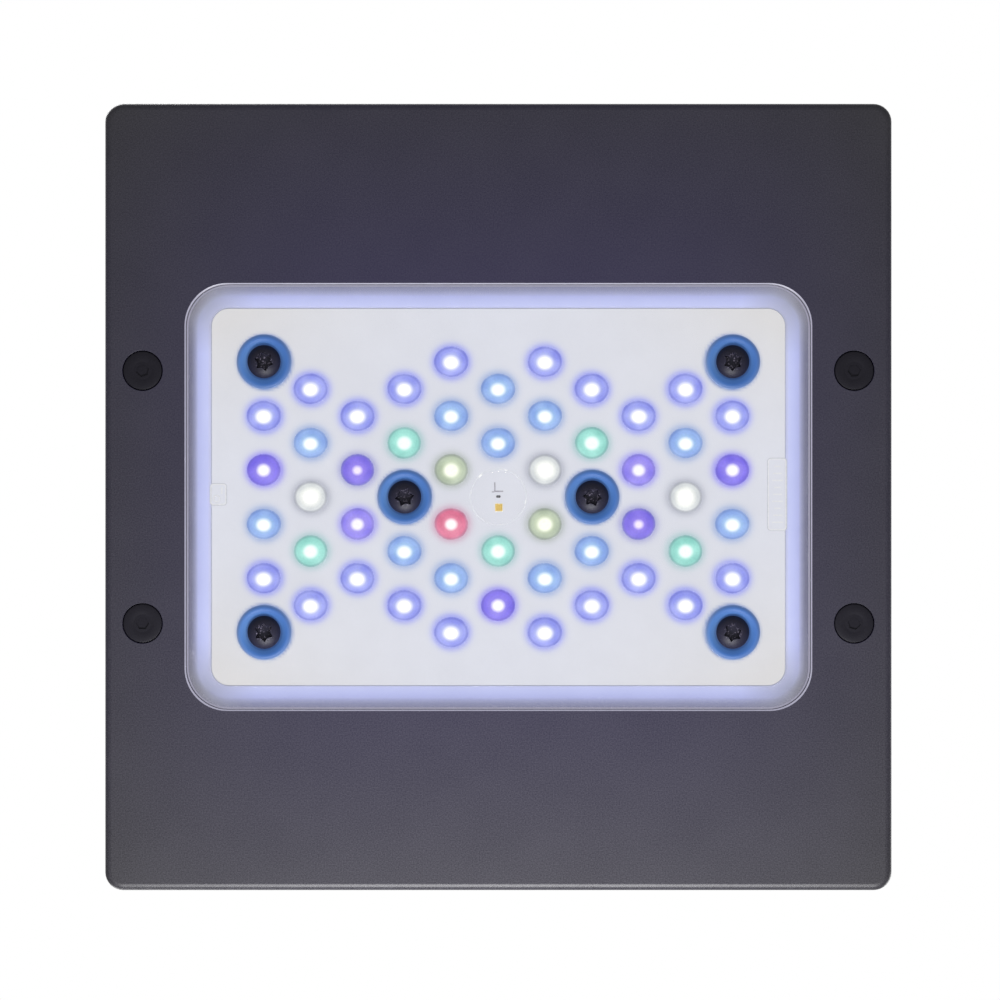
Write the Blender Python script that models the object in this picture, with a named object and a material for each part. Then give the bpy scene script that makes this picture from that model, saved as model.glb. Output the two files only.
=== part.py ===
"""LED aquarium light: a flat square lamp that hangs over a tank and shines down.

Metres. The origin is the middle of the bezel's face, +Z points up towards the fan,
-Y is the front with the control button, and +Y is the rear with the power inlet.
"""

import math

import bmesh
import bpy
from mathutils import Matrix, Vector

# Shells
BODY_SIDE = 0.180
CORNER_RADIUS = 0.0041
BEZEL_BEVEL = 0.0015
BEZEL_THICKNESS = 0.0040
HOUSING_WALL = 0.0038
COVER_WALL = 0.0025
SPLIT_Z = 0.0220
SPLIT_CHAMFER = 0.0004
LIP_HEIGHT = 0.0020
LIP_CORNER_RADIUS = 0.0015
INNER_CORNER_RADIUS = 0.0010
COVER_INNER_RADIUS = 0.0018
FACE_BOSS_RADIUS = 0.0062
SLIM_BOSS_RADIUS = 0.0045
ROOF_Z = 0.0394
ROOF_THICKNESS = 0.0030
TOP_BEVEL = 0.0025
GAP = 0.0003
CUT = 0.0020

# Window, lens and board
WINDOW = (0.1430, 0.0973)
WINDOW_RADIUS = 0.0097
WINDOW_CHAMFER = 0.0005
LENS_Z = 0.0034
LENS_THICKNESS = 0.0020
DOME_RADIUS = 0.0037
DOME_TOP_RADIUS = 0.0024
DOME_HEIGHT = 0.0018
SENSOR_DOME_RADIUS = 0.0065
SENSOR_DOME_HEIGHT = 0.0010
BOARD = (0.1317, 0.0865)
BOARD_RADIUS = 0.0040
BOARD_Z = 0.0066
BOARD_THICKNESS = 0.0016
LED_SIDE = 0.0034
LED_HEIGHT = 0.0007
LED_PITCH = 0.0124
PAD_THICKNESS = 0.0005

# Heat sink
SINK_Z = 0.0093
SINK_BASE = 0.0040
SINK_LENGTH = 0.1710
SINK_WIDTH = 0.1080
FIN_PITCH = 0.0040
FIN_THICKNESS = 0.0012
FIN_TOP_Z = 0.0206
FIN_COUNT = 27

# Vents
VENT_WIDTH = 0.0036
VENT_PITCH = 2 * FIN_PITCH
VENT_LOW_Z = SINK_Z + SINK_BASE + 0.0004
SIDE_VENT_COUNT = 13
REAR_VENT_COUNT = 7
REAR_VENT_X = 0.0100
REAR_VENT_TOP_Z = 0.0200
VENT_CUT_DEPTH = 0.0100

# Fasteners
FACE_SCREW_AT = (0.0814, 0.0289)
FACE_HEAD_RADIUS = 0.00453
FACE_HEAD_Z = 0.0001
FACE_HEAD_DEPTH = 0.0025
FACE_BORE_DEPTH = 0.0029
FACE_SHANK_RADIUS = 0.0025
FACE_SCREW_TIP_Z = 0.0127
HEX_SOCKET_RADIUS = 0.0015
M4_HEAD_RADIUS = 0.0038
M4_RADIUS = 0.0020
M4_CLEARANCE = 0.0023
LENS_SCREW_TIP_Z = 0.0126
BUTTON_HEAD_HEIGHT = 0.0022
WASHER_RADIUS = 0.0063
WASHER_HEIGHT = 0.0018
COVER_SCREW_AT = 0.0790
M3_HEAD_RADIUS = 0.0029
M3_RADIUS = 0.0015
COVER_SCREW_TIP_Z = 0.0290
FAN_SCREW_TIP_Z = 0.0250
FLUSH_EDGE = 0.0003
INSERT_AT = (0.0770, 0.0160)
INSERT_RADIUS = 0.0028
INSERT_BORE_RADIUS = 0.00165
INSERT_LENGTH = 0.0059
HANGER_PAD = (0.0160, 0.0500)
HANGER_PAD_RADIUS = 0.0030
HANGER_PAD_Z = 0.0400

# Fan
FAN_SIDE = 0.0920
FAN_Z = 0.0211
FAN_DEPTH = 0.0150
FAN_BORE_RADIUS = 0.0435
FAN_HOLE_AT = 0.04125
FAN_FLOOR = 0.0015
SEAT_RADIUS = 0.0180
STRUT_WIDTH = 0.0040
BEARING_TUBE = (0.0026, 0.0040)
BEARING_TUBE_TOP_Z = FAN_Z + 0.0109
STATOR_RADIUS = 0.0130
STATOR_Z = (FAN_Z + 0.0030, FAN_Z + 0.0095)
BEARING_RADIUS = 0.0023
BEARING_Z = (FAN_Z + 0.0021, FAN_Z + 0.0104)
HUB_RADIUS = 0.0170
HUB_WALL = 0.0024
HUB_ROUND = (0.0015, 0.0013)
HUB_TOP_Z = FAN_Z + 0.0142
HUB_INSIDE_Z = FAN_Z + 0.0119
HUB_SKIRT_Z = FAN_Z + 0.0029
BLADE_COUNT = 9
BLADE_TIP_RADIUS = 0.0412
BLADE_THICKNESS = 0.0012
BLADE_MIDDLE_Z = FAN_Z + 0.0084
BLADE_PITCH = (50, 30)
BLADE_SWEEP = 14
BLADE_HALF_CHORD = (0.0068, 0.0102)
SHAFT_RADIUS = 0.0015
SHAFT_END_Z = FAN_Z + 0.0020
SHAFT_CLEARANCE = 0.00012
INTAKE_RADIUS = 0.0445
GRILLE_SIDE = 0.0960
GRILLE_THICKNESS = 0.0012
GRILLE_PITCH = 0.0104
GRILLE_CELL_RADIUS = 0.0052

# Driver, inlet and control
DRIVER_AT = (0.0, 0.0720)
DRIVER_SIZE = (0.1400, 0.0240)
DRIVER_Z = 0.0080
PCB_THICKNESS = 0.0016
DRIVER_POST_AT = (0.0640, 0.0660)
PART_Z = DRIVER_Z + PCB_THICKNESS + GAP
PART_ROW_Y = 0.0765
CAPACITOR_X = (-0.0140, -0.0020, 0.0560)
CHOKE_X = (-0.0290, -0.0650)
CHIP_X = 0.0130
MODULE_X = 0.0340
HEADER_Y = 0.0634
HEADER_TOP_Z = 0.0130
HEADERS = ((-0.0300, 0.0060), (0.0100, 0.0060), (0.0300, 0.0080))
INLET_AT = (-0.0520, 0.0154)
INLET_HOLE_RADIUS = 0.0045
INLET_NOSE_RADIUS = 0.0042
INLET_BORE_RADIUS = 0.0031
INLET_PIN_RADIUS = 0.0010
INLET_BORE_DEPTH = 0.0090
JACK_WIDTH = 0.0120
JACK_Y = (0.0720, 0.0845)
JACK_TOP_Z = 0.0209
KEY_AT = (0.0, -0.0760)
KEY_BOARD_SIZE = (0.0440, 0.0140)
KEY_BOARD_Z = 0.0280
KEY_BOARD_THICKNESS = 0.0012
KEY_PART_Z = KEY_BOARD_Z + KEY_BOARD_THICKNESS + GAP
KEY_POST_X = 0.0180
BUTTON_RADIUS = 0.0050
FLANGE_RADIUS = 0.0063
BUTTON_END_Z = 0.0342
LIGHT_X = 0.0110
LIGHT_RADIUS = 0.0015
LIGHT_FLANGE_RADIUS = 0.0022
LEAD_RADIUS = 0.0010
LEAD_START = (0.0200, BOARD[1] / 2 + GAP, BOARD_Z + BOARD_THICKNESS / 2)
HEADER_EXIT_Z = HEADER_TOP_Z + GAP

# Finishes: colour, roughness and, where given, metallic value and alpha
BLACK_COAT = ((0.045, 0.044, 0.052), 0.50)
BLACK_STEEL = ((0.020, 0.020, 0.022), 0.35, 0.9)
BLACK_PLASTIC = ((0.025, 0.025, 0.028), 0.45)
KEY_PLASTIC = ((0.10, 0.10, 0.11), 0.5)
CLEAR = ((0.90, 0.92, 0.96), 0.05, 0.0, 0.3)
WHITE_MASK = ((0.85, 0.84, 0.86), 0.45)
AMBER = ((0.70, 0.42, 0.05), 0.35)
BLUE_ANODISED = ((0.05, 0.20, 0.60), 0.30, 0.8)
BARE_ALUMINIUM = ((0.75, 0.76, 0.78), 0.40, 1.0)
GREEN_BOARD = ((0.02, 0.16, 0.08), 0.45)
BRASS = ((0.78, 0.58, 0.25), 0.35, 1.0)
STEEL = ((0.55, 0.56, 0.58), 0.35, 1.0)
COPPER = ((0.80, 0.40, 0.22), 0.40, 1.0)
GREY_SILICONE = ((0.55, 0.56, 0.60), 0.60)
CAPACITOR_SLEEVE = ((0.04, 0.05, 0.09), 0.35)
CHOKE_SLEEVE = ((0.05, 0.05, 0.05), 0.60)
RED_WIRE = ((0.60, 0.05, 0.04), 0.50)
BLACK_WIRE = ((0.03, 0.03, 0.03), 0.50)
GREY_WIRE = ((0.70, 0.70, 0.72), 0.50)

LED_STEP = (LED_PITCH * math.cos(math.radians(30)), LED_PITCH / 2)
LENS_SCREW_SITES = ((-5, -5), (5, -5), (-2, 0), (2, 0), (-5, 5), (5, 5))
BARE_SITES = ((-3, -5), (3, -5), (-3, 5), (3, 5), (0, 0))
FOUR_SIGNS = ((-1, -1), (1, -1), (-1, 1), (1, 1))


def clear_scene():
    for obj in list(bpy.data.objects):
        bpy.data.objects.remove(obj, do_unlink=True)


# Outlines, each a list of (x, y) points


def rounded_rectangle(width, depth, radius, steps=4, centre=(0.0, 0.0)):
    points = []
    for corner, (sx, sy) in enumerate(((1, 1), (-1, 1), (-1, -1), (1, -1))):
        x = centre[0] + sx * (width / 2 - radius)
        y = centre[1] + sy * (depth / 2 - radius)
        for step in range(steps + 1):
            angle = math.radians(90) * (corner + step / steps)
            points.append((x + radius * math.cos(angle), y + radius * math.sin(angle)))
    return points


def rectangle(width, depth, centre=(0.0, 0.0)):
    return [(centre[0] + sx * width / 2, centre[1] + sy * depth / 2)
            for sx, sy in ((1, 1), (-1, 1), (-1, -1), (1, -1))]


def polygon(radius, count, centre=(0.0, 0.0), turn=0.0):
    return [(centre[0] + radius * math.cos(turn + math.tau * i / count),
             centre[1] + radius * math.sin(turn + math.tau * i / count)) for i in range(count)]


def six_lobe(outer, inner):
    """A six-lobe drive: lobes and hollows take turns every 30 degrees."""
    return [(radius * math.cos(math.tau * i / 12), radius * math.sin(math.tau * i / 12))
            for i, radius in enumerate((outer, inner) * 6)]


def ring_sector(inner, outer, start, end, edge):
    """A piece of a ring between two radial struts, which keep half their width each side."""
    points = []
    for radius, count in ((outer, 9), (inner, 5)):
        inset = math.asin(edge / radius)
        low, high = start + inset, end - inset
        arc = [low + (high - low) * i / (count - 1) for i in range(count)]
        if radius == inner:
            arc.reverse()
        points += [(radius * math.cos(a), radius * math.sin(a)) for a in arc]
    return points


# Solids, each added to a bmesh


def loft(bm, rings):
    """A closed skin through rings of (x, y, z) points, capped at both ends."""
    loops = [[bm.verts.new(point) for point in ring] for ring in rings]
    for low, high in zip(loops, loops[1:]):
        for i in range(len(low)):
            j = (i + 1) % len(low)
            bm.faces.new((low[i], low[j], high[j], high[i]))
    bm.faces.new(loops[0])
    bm.faces.new(loops[-1])


def prism(bm, outline, low, high):
    face = bm.faces.new([bm.verts.new((x, y, low)) for x, y in outline])
    raised = bmesh.ops.extrude_face_region(bm, geom=[face])["geom"]
    verts = [item for item in raised if isinstance(item, bmesh.types.BMVert)]
    bmesh.ops.translate(bm, verts=verts, vec=(0, 0, high - low))


def cylinder(bm, centre, radius, low, high, segments=12):
    prism(bm, polygon(radius, segments, centre), low, high)


def turned(bm, profile, centre=(0.0, 0.0), segments=12, closed=False, matrix=None):
    """Spins (radius, height) points about a vertical axis, or about matrix's own Z axis."""
    x, y = centre
    verts = [bm.verts.new((x + radius, y, height)) for radius, height in profile]
    pairs = list(zip(verts, verts[1:]))
    if closed:
        pairs.append((verts[-1], verts[0]))
    edges = [bm.edges.new(pair) for pair in pairs]
    before = set(bm.verts) - set(verts)
    bmesh.ops.spin(bm, geom=verts + edges, cent=(x, y, 0), axis=(0, 0, 1), angle=math.tau,
                   steps=segments, use_merge=True)
    if matrix:
        bmesh.ops.transform(bm, matrix=matrix, verts=list(set(bm.verts) - before))


def along_y(start):
    """Turns a solid that stands on Z to point along +Y from start."""
    return Matrix.Translation(start) @ Matrix.Rotation(math.radians(-90), 4, "X")


def shell_ring(side, radius, z, steps=4):
    return [(x, y, z) for x, y in rounded_rectangle(side, side, radius, steps)]


def beveled_rings(side, radius, bevel, flat_z, side_z, steps=2):
    """Rings of a quarter-round edge, from the flat face at flat_z to the side at side_z."""
    rings = []
    for step in range(steps + 1):
        angle = math.radians(90) * step / steps
        inset = bevel * (1 - math.sin(angle))
        z = side_z + (flat_z - side_z) * math.cos(angle)
        rings.append(shell_ring(side - 2 * inset, max(radius - inset, 0.0005), z))
    return rings


# Objects


def add_material(name, color, roughness, metallic=0.0, alpha=1.0):
    material = bpy.data.materials.get(name) or bpy.data.materials.new(name)
    material.use_nodes = True
    shader = material.node_tree.nodes["Principled BSDF"]
    shader.inputs["Base Color"].default_value = (*color, 1.0)
    shader.inputs["Roughness"].default_value = roughness
    shader.inputs["Metallic"].default_value = metallic
    shader.inputs["Alpha"].default_value = alpha
    return material


def to_mesh(bm, name):
    bmesh.ops.remove_doubles(bm, verts=bm.verts, dist=1e-7)
    bmesh.ops.recalc_face_normals(bm, faces=bm.faces)
    mesh = bpy.data.meshes.new(name)
    bm.to_mesh(mesh)
    bm.free()
    return mesh


def place(name, data, finish, location=(0, 0, 0)):
    obj = bpy.data.objects.new(name, data)
    obj.location = location
    bpy.context.collection.objects.link(obj)
    family = name.rstrip("0123456789").rstrip("_")
    data.materials.clear()
    data.materials.append(add_material(family, *finish))
    return obj


def smooth(obj):
    obj.data.shade_smooth()
    obj.data.set_sharp_from_angle(angle=math.radians(35))
    return obj


def solid(name, bm, finish, location=(0, 0, 0)):
    return smooth(place(name, to_mesh(bm, name), finish, location))


def combine(obj, bm, operation):
    """Unites the solids of bm with the object, or cuts them from it, in the object's own space."""
    helper = bpy.data.objects.new("helper", to_mesh(bm, "helper"))
    helper.location = obj.location
    bpy.context.collection.objects.link(helper)
    modifier = obj.modifiers.new("combine", "BOOLEAN")
    modifier.operation = operation
    modifier.object = helper
    graph = bpy.context.evaluated_depsgraph_get()
    result = bpy.data.meshes.new_from_object(obj.evaluated_get(graph))
    obj.modifiers.remove(modifier)
    finish = obj.data.materials[0]
    obj.data = result
    obj.data.materials.clear()
    obj.data.materials.append(finish)
    bpy.data.objects.remove(helper)
    return smooth(obj)


def cut(obj, bm):
    return combine(obj, bm, "DIFFERENCE")


def join(obj, bm):
    return combine(obj, bm, "UNION")


def copies(name, obj, places):
    """Names the object name_1, and puts copies that share its mesh at the other places."""
    obj.name = f"{name}_1"
    obj.location = places[0]
    for number, spot in enumerate(places[1:], start=2):
        twin = bpy.data.objects.new(f"{name}_{number}", obj.data)
        twin.location = spot
        bpy.context.collection.objects.link(twin)


def four(x, y, z=0.0):
    return [(sx * x, sy * y, z) for sx, sy in FOUR_SIGNS]


def site(column, row):
    return (column * LED_STEP[0], row * LED_STEP[1])


def led_sites():
    """Places of the LEDs: a triangular grid, less the screws, the sensor and four bare spots."""
    taken = LENS_SCREW_SITES + BARE_SITES
    return [site(column, row) for column in range(-5, 6) for row in range(-5, 6)
            if (column + row) % 2 == 0 and (column, row) not in taken]


# Lower shell, its window, bosses and vents


def make_bezel_housing():
    inner = BODY_SIDE - 2 * HOUSING_WALL
    lip = BODY_SIDE - 2 * COVER_WALL - 2 * GAP
    rings = beveled_rings(BODY_SIDE, CORNER_RADIUS, BEZEL_BEVEL, 0.0, BEZEL_BEVEL)
    rings.append(shell_ring(BODY_SIDE, CORNER_RADIUS, SPLIT_Z - SPLIT_CHAMFER))
    rings.append(shell_ring(BODY_SIDE - 2 * SPLIT_CHAMFER, CORNER_RADIUS - SPLIT_CHAMFER, SPLIT_Z))
    rings.append(shell_ring(lip, LIP_CORNER_RADIUS, SPLIT_Z))
    rings.append(shell_ring(lip, LIP_CORNER_RADIUS, SPLIT_Z + LIP_HEIGHT))
    rings.append(shell_ring(inner, INNER_CORNER_RADIUS, SPLIT_Z + LIP_HEIGHT))
    rings.append(shell_ring(inner, INNER_CORNER_RADIUS, BEZEL_THICKNESS))
    bm = bmesh.new()
    loft(bm, rings)
    housing = solid("bezel_housing", bm, BLACK_COAT)

    bm = bmesh.new()
    boss_z = BEZEL_THICKNESS - GAP / 3
    for x, y, _ in four(*FACE_SCREW_AT):
        cylinder(bm, (x, y), FACE_BOSS_RADIUS, boss_z, SINK_Z - GAP)
    for x, y, _ in four(COVER_SCREW_AT, COVER_SCREW_AT):
        cylinder(bm, (x, y), SLIM_BOSS_RADIUS, boss_z, ROOF_Z - ROOF_THICKNESS - GAP)
    post, pin = 0.0030, 0.0012
    pin_top = DRIVER_Z + PCB_THICKNESS + 0.0006
    for side in (-1, 1):
        turned(bm, [(0, boss_z), (post, boss_z), (post, DRIVER_Z - GAP), (pin, DRIVER_Z - GAP),
                    (pin, pin_top), (0, pin_top)],
               (side * DRIVER_POST_AT[0], DRIVER_POST_AT[1]), 10)
    join(housing, bm)

    bm = bmesh.new()
    cut_window(bm)
    bore, hole, hole_end = FACE_HEAD_RADIUS + GAP, FACE_SHANK_RADIUS + GAP, SINK_Z + CUT
    for x, y, _ in four(*FACE_SCREW_AT):
        turned(bm, [(0, -CUT), (bore, -CUT), (bore, FACE_BORE_DEPTH), (hole, FACE_BORE_DEPTH),
                    (hole, hole_end), (0, hole_end)], (x, y), 16)
    for x, y, _ in four(COVER_SCREW_AT, COVER_SCREW_AT):
        cylinder(bm, (x, y), M3_RADIUS + GAP, COVER_SCREW_TIP_Z - 0.0010, ROOF_Z, 10)
    cut_side_vents(bm)
    cut_rear_wall(bm)
    cut(housing, bm)


def cut_window(bm):
    rings = []
    for outset, z in ((WINDOW_CHAMFER, -CUT), (WINDOW_CHAMFER, 0.0), (0.0, WINDOW_CHAMFER),
                      (0.0, BEZEL_THICKNESS + CUT)):
        outline = rounded_rectangle(WINDOW[0] + 2 * outset, WINDOW[1] + 2 * outset,
                                    WINDOW_RADIUS + outset, steps=5)
        rings.append([(x, y, z) for x, y in outline])
    loft(bm, rings)


def cut_side_vents(bm):
    """Upright slots in both side walls, one for every second channel between the fins."""
    for side in (-1, 1):
        for number in range(SIDE_VENT_COUNT):
            centre = (side * BODY_SIDE / 2, (number - (SIDE_VENT_COUNT - 1) / 2) * VENT_PITCH)
            prism(bm, rectangle(VENT_CUT_DEPTH, VENT_WIDTH, centre), VENT_LOW_Z, FIN_TOP_Z)


def cut_rear_wall(bm):
    """The round hole of the power inlet and a row of slots beside the driver."""
    x, z = INLET_AT
    radius, depth = INLET_HOLE_RADIUS, VENT_CUT_DEPTH
    turned(bm, [(0, 0), (radius, 0), (radius, depth), (0, depth)], segments=14,
           matrix=along_y((x, BODY_SIDE / 2 - 0.006, z)))
    for number in range(REAR_VENT_COUNT):
        centre = (REAR_VENT_X + number * VENT_PITCH, BODY_SIDE / 2)
        prism(bm, rectangle(VENT_WIDTH, VENT_CUT_DEPTH, centre), VENT_LOW_Z, REAR_VENT_TOP_Z)


# Upper shell


def make_top_cover():
    inner = BODY_SIDE - 2 * COVER_WALL
    roof_low = ROOF_Z - ROOF_THICKNESS
    base_z = SPLIT_Z + GAP
    rings = [shell_ring(inner, COVER_INNER_RADIUS, z) for z in (roof_low, base_z)]
    rings.append(shell_ring(BODY_SIDE - 2 * SPLIT_CHAMFER, CORNER_RADIUS - SPLIT_CHAMFER, base_z))
    rings.append(shell_ring(BODY_SIDE, CORNER_RADIUS, base_z + SPLIT_CHAMFER))
    rings += reversed(beveled_rings(BODY_SIDE, CORNER_RADIUS, TOP_BEVEL, ROOF_Z, ROOF_Z - TOP_BEVEL))
    bm = bmesh.new()
    loft(bm, rings)
    cover = solid("top_cover", bm, BLACK_COAT)

    bm = bmesh.new()
    into = GAP / 3
    post, pin, pin_z = 0.0025, 0.0010, KEY_BOARD_Z - 0.0006
    for side in (-1, 1):
        pad = rounded_rectangle(*HANGER_PAD, HANGER_PAD_RADIUS, 3, (side * INSERT_AT[0], 0.0))
        prism(bm, pad, ROOF_Z - into, HANGER_PAD_Z)
        turned(bm, [(0, pin_z), (pin, pin_z), (pin, KEY_PART_Z), (post, KEY_PART_Z),
                    (post, roof_low + into), (0, roof_low + into)],
               (side * KEY_POST_X, KEY_AT[1]), 10)
    insert_floor = 0.0016
    for x, y, _ in four(*INSERT_AT):
        cylinder(bm, (x, y), SLIM_BOSS_RADIUS, HANGER_PAD_Z - INSERT_LENGTH - insert_floor,
                 roof_low + into)
    join(cover, bm)

    bm = bmesh.new()
    recess = rounded_rectangle(GRILLE_SIDE + 2 * GAP, GRILLE_SIDE + 2 * GAP, 0.0063)
    prism(bm, recess, ROOF_Z - GRILLE_THICKNESS - GAP, ROOF_Z + CUT)
    cylinder(bm, KEY_AT, BUTTON_RADIUS + GAP, roof_low - CUT, ROOF_Z + CUT, 16)
    cylinder(bm, (LIGHT_X, KEY_AT[1]), LIGHT_RADIUS + GAP, roof_low - CUT, ROOF_Z + CUT, 12)
    for x, y, _ in four(COVER_SCREW_AT, COVER_SCREW_AT):
        countersink(bm, (x, y), M3_HEAD_RADIUS, M3_RADIUS)
    for x, y, _ in four(*INSERT_AT):
        cylinder(bm, (x, y), INSERT_RADIUS + GAP, HANGER_PAD_Z - INSERT_LENGTH - GAP - 0.0001,
                 HANGER_PAD_Z + CUT)
    cut(cover, bm)

    bm = bmesh.new()
    cylinder(bm, (0, 0), INTAKE_RADIUS, roof_low - CUT, ROOF_Z + CUT, 40)
    for x, y, _ in four(FAN_HOLE_AT, FAN_HOLE_AT):
        countersink(bm, (x, y), M4_HEAD_RADIUS, M4_RADIUS)
    cut(cover, bm)


def countersink(bm, centre, head, shank):
    """A hole for a countersunk screw, its head flush with the roof."""
    rim = head + GAP
    bore = shank + GAP
    top, end = ROOF_Z - FLUSH_EDGE - 0.0001, ROOF_Z - 3 * ROOF_THICKNESS
    turned(bm, [(0, ROOF_Z + CUT), (rim, ROOF_Z + CUT), (rim, top), (bore, top - (rim - bore)),
                (bore, end), (0, end)], centre, 12)


def make_countersunk(name, head, shank, tip_z, places):
    """A countersunk screw whose top is flush with the roof, with a six-lobe drive."""
    top = ROOF_Z - 0.0001
    bm = bmesh.new()
    edge = top - FLUSH_EDGE
    turned(bm, [(0, top), (head, top), (head, edge), (shank, edge - (head - shank)),
                (shank, tip_z), (0, tip_z)])
    screw = solid(name, bm, BLACK_STEEL)
    bm = bmesh.new()
    prism(bm, six_lobe(head * 0.50, head * 0.36), top - 0.0011, top + CUT)
    cut(screw, bm)
    copies(name, screw, places)


def make_fan_grille():
    bm = bmesh.new()
    low = ROOF_Z - GRILLE_THICKNESS
    prism(bm, rounded_rectangle(GRILLE_SIDE, GRILLE_SIDE, 0.006), low, ROOF_Z)
    grille = solid("fan_grille", bm, BLACK_STEEL)
    bm = bmesh.new()
    for x, y in grille_cells():
        prism(bm, polygon(GRILLE_CELL_RADIUS, 6, (x, y), math.radians(30)), low - CUT, ROOF_Z + CUT)
    for x, y, _ in four(FAN_HOLE_AT, FAN_HOLE_AT):
        countersink(bm, (x, y), M4_HEAD_RADIUS, M4_RADIUS)
    cut(grille, bm)


def grille_cells():
    """Honeycomb cells whose whole opening lies over the fan's bore and the intake."""
    cells = []
    for row in range(-5, 6):
        for column in range(-5, 6):
            x = (column + (row % 2) / 2) * GRILLE_PITCH
            y = row * GRILLE_PITCH * math.sin(math.radians(60))
            if math.hypot(x, y) + GRILLE_CELL_RADIUS < (FAN_BORE_RADIUS + INTAKE_RADIUS) / 2:
                cells.append((x, y))
    return cells


def make_hanger_inserts():
    bm = bmesh.new()
    low, high = HANGER_PAD_Z - INSERT_LENGTH, HANGER_PAD_Z - 0.0001
    turned(bm, [(INSERT_BORE_RADIUS, low), (INSERT_RADIUS, low), (INSERT_RADIUS, high),
                (INSERT_BORE_RADIUS, high)], closed=True)
    insert = solid("hanger_insert", bm, BRASS)
    copies("hanger_insert", insert, four(*INSERT_AT))


# Lens, board and heat sink


def make_lens_plate():
    width, depth = WINDOW[0] - 2 * GAP, WINDOW[1] - 2 * GAP
    radius, chamfer = WINDOW_RADIUS - GAP, 0.0004
    rings = []
    for inset, z in ((chamfer, LENS_Z), (0.0, LENS_Z + chamfer), (0.0, LENS_Z + LENS_THICKNESS)):
        outline = rounded_rectangle(width - 2 * inset, depth - 2 * inset, radius - inset, steps=5)
        rings.append([(x, y, z) for x, y in outline])
    bm = bmesh.new()
    loft(bm, rings)
    lens = solid("lens_plate", bm, CLEAR)

    bm = bmesh.new()
    foot = LENS_Z + GAP / 3
    for x, y in led_sites():
        rings = [[(px, py, z) for px, py in polygon(r, 8, (x, y))]
                 for r, z in ((DOME_RADIUS, foot), (DOME_TOP_RADIUS, LENS_Z - DOME_HEIGHT))]
        loft(bm, rings)
    rings = [[(px, py, z) for px, py in polygon(r, 16)]
             for r, z in ((SENSOR_DOME_RADIUS, foot),
                          (SENSOR_DOME_RADIUS * 0.8, LENS_Z - SENSOR_DOME_HEIGHT))]
    loft(bm, rings)
    join(lens, bm)
    cut(lens, lens_screw_holes())


def lens_screw_holes():
    bm = bmesh.new()
    for spot in LENS_SCREW_SITES:
        cylinder(bm, site(*spot), M4_CLEARANCE, LENS_Z - CUT, SINK_Z + SINK_BASE - GAP, 10)
    return bm


def make_lens_gasket():
    low, high = LENS_Z + LENS_THICKNESS + GAP, SINK_Z - GAP
    bm = bmesh.new()
    outline = rounded_rectangle(WINDOW[0] - 2 * GAP, WINDOW[1] - 2 * GAP, WINDOW_RADIUS - GAP)
    prism(bm, outline, low, high)
    gasket = solid("lens_gasket", bm, GREY_SILICONE)
    bm = bmesh.new()
    outline = rounded_rectangle(BOARD[0] + 2 * GAP, BOARD[1] + 2 * GAP, BOARD_RADIUS + GAP)
    prism(bm, outline, low - CUT, high + CUT)
    cut(gasket, bm)
    bm = bmesh.new()
    x, y, z = LEAD_START
    reach = LEAD_RADIUS + GAP
    prism(bm, rectangle(2 * reach, 0.012, (x, y + 0.004)), z - reach, high + CUT)
    cut(gasket, bm)


def make_led_board():
    bm = bmesh.new()
    prism(bm, rounded_rectangle(*BOARD, BOARD_RADIUS), BOARD_Z, BOARD_Z + BOARD_THICKNESS)
    board = solid("led_board", bm, WHITE_MASK)
    bm = bmesh.new()
    for spot in led_sites():
        prism(bm, rectangle(LED_SIDE, LED_SIDE, spot), BOARD_Z - LED_HEIGHT, BOARD_Z + GAP)
    join(board, bm)
    cut(board, lens_screw_holes())


def make_sensors():
    """The colour sensor and the light-sensitive eye under the lens's middle dome."""
    seat, chip, eye = BOARD_Z - GAP, 0.0018, 0.00055
    bm = bmesh.new()
    prism(bm, rectangle(chip, chip), -chip / 2, 0.0)
    solid("sensor_chip", bm, AMBER, (0.0001, 0.00245, seat))
    bm = bmesh.new()
    cylinder(bm, (0, 0), eye, -0.0005, 0.0, 12)
    solid("sensor_eye", bm, BLACK_PLASTIC, (0.0, -0.0001, seat))


def make_thermal_pad():
    bm = bmesh.new()
    high = SINK_Z - GAP
    prism(bm, rounded_rectangle(*BOARD, BOARD_RADIUS), high - PAD_THICKNESS, high)
    pad = solid("thermal_pad", bm, GREY_SILICONE)
    cut(pad, lens_screw_holes())


def make_heat_sink():
    """A finned extrusion: its comb-shaped section runs the whole length, from side to side."""
    base_top = SINK_Z + SINK_BASE
    section = [(SINK_WIDTH / 2, base_top), (SINK_WIDTH / 2, SINK_Z), (-SINK_WIDTH / 2, SINK_Z),
               (-SINK_WIDTH / 2, base_top)]
    for number in range(FIN_COUNT):
        y = (number - (FIN_COUNT - 1) / 2) * FIN_PITCH
        low, high = y - FIN_THICKNESS / 2, y + FIN_THICKNESS / 2
        section += [(low, base_top), (low, FIN_TOP_Z), (high, FIN_TOP_Z), (high, base_top)]
    bm = bmesh.new()
    loft(bm, [[(x, y, z) for y, z in section] for x in (-SINK_LENGTH / 2, SINK_LENGTH / 2)])
    sink = solid("heat_sink", bm, BARE_ALUMINIUM)
    bm = bmesh.new()
    for x, y, _ in four(*FACE_SCREW_AT):
        cylinder(bm, (x, y), FACE_SHANK_RADIUS + GAP, SINK_Z - CUT, base_top - GAP)
    cut(sink, bm)
    cut(sink, lens_screw_holes())


# Screws of the face


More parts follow.
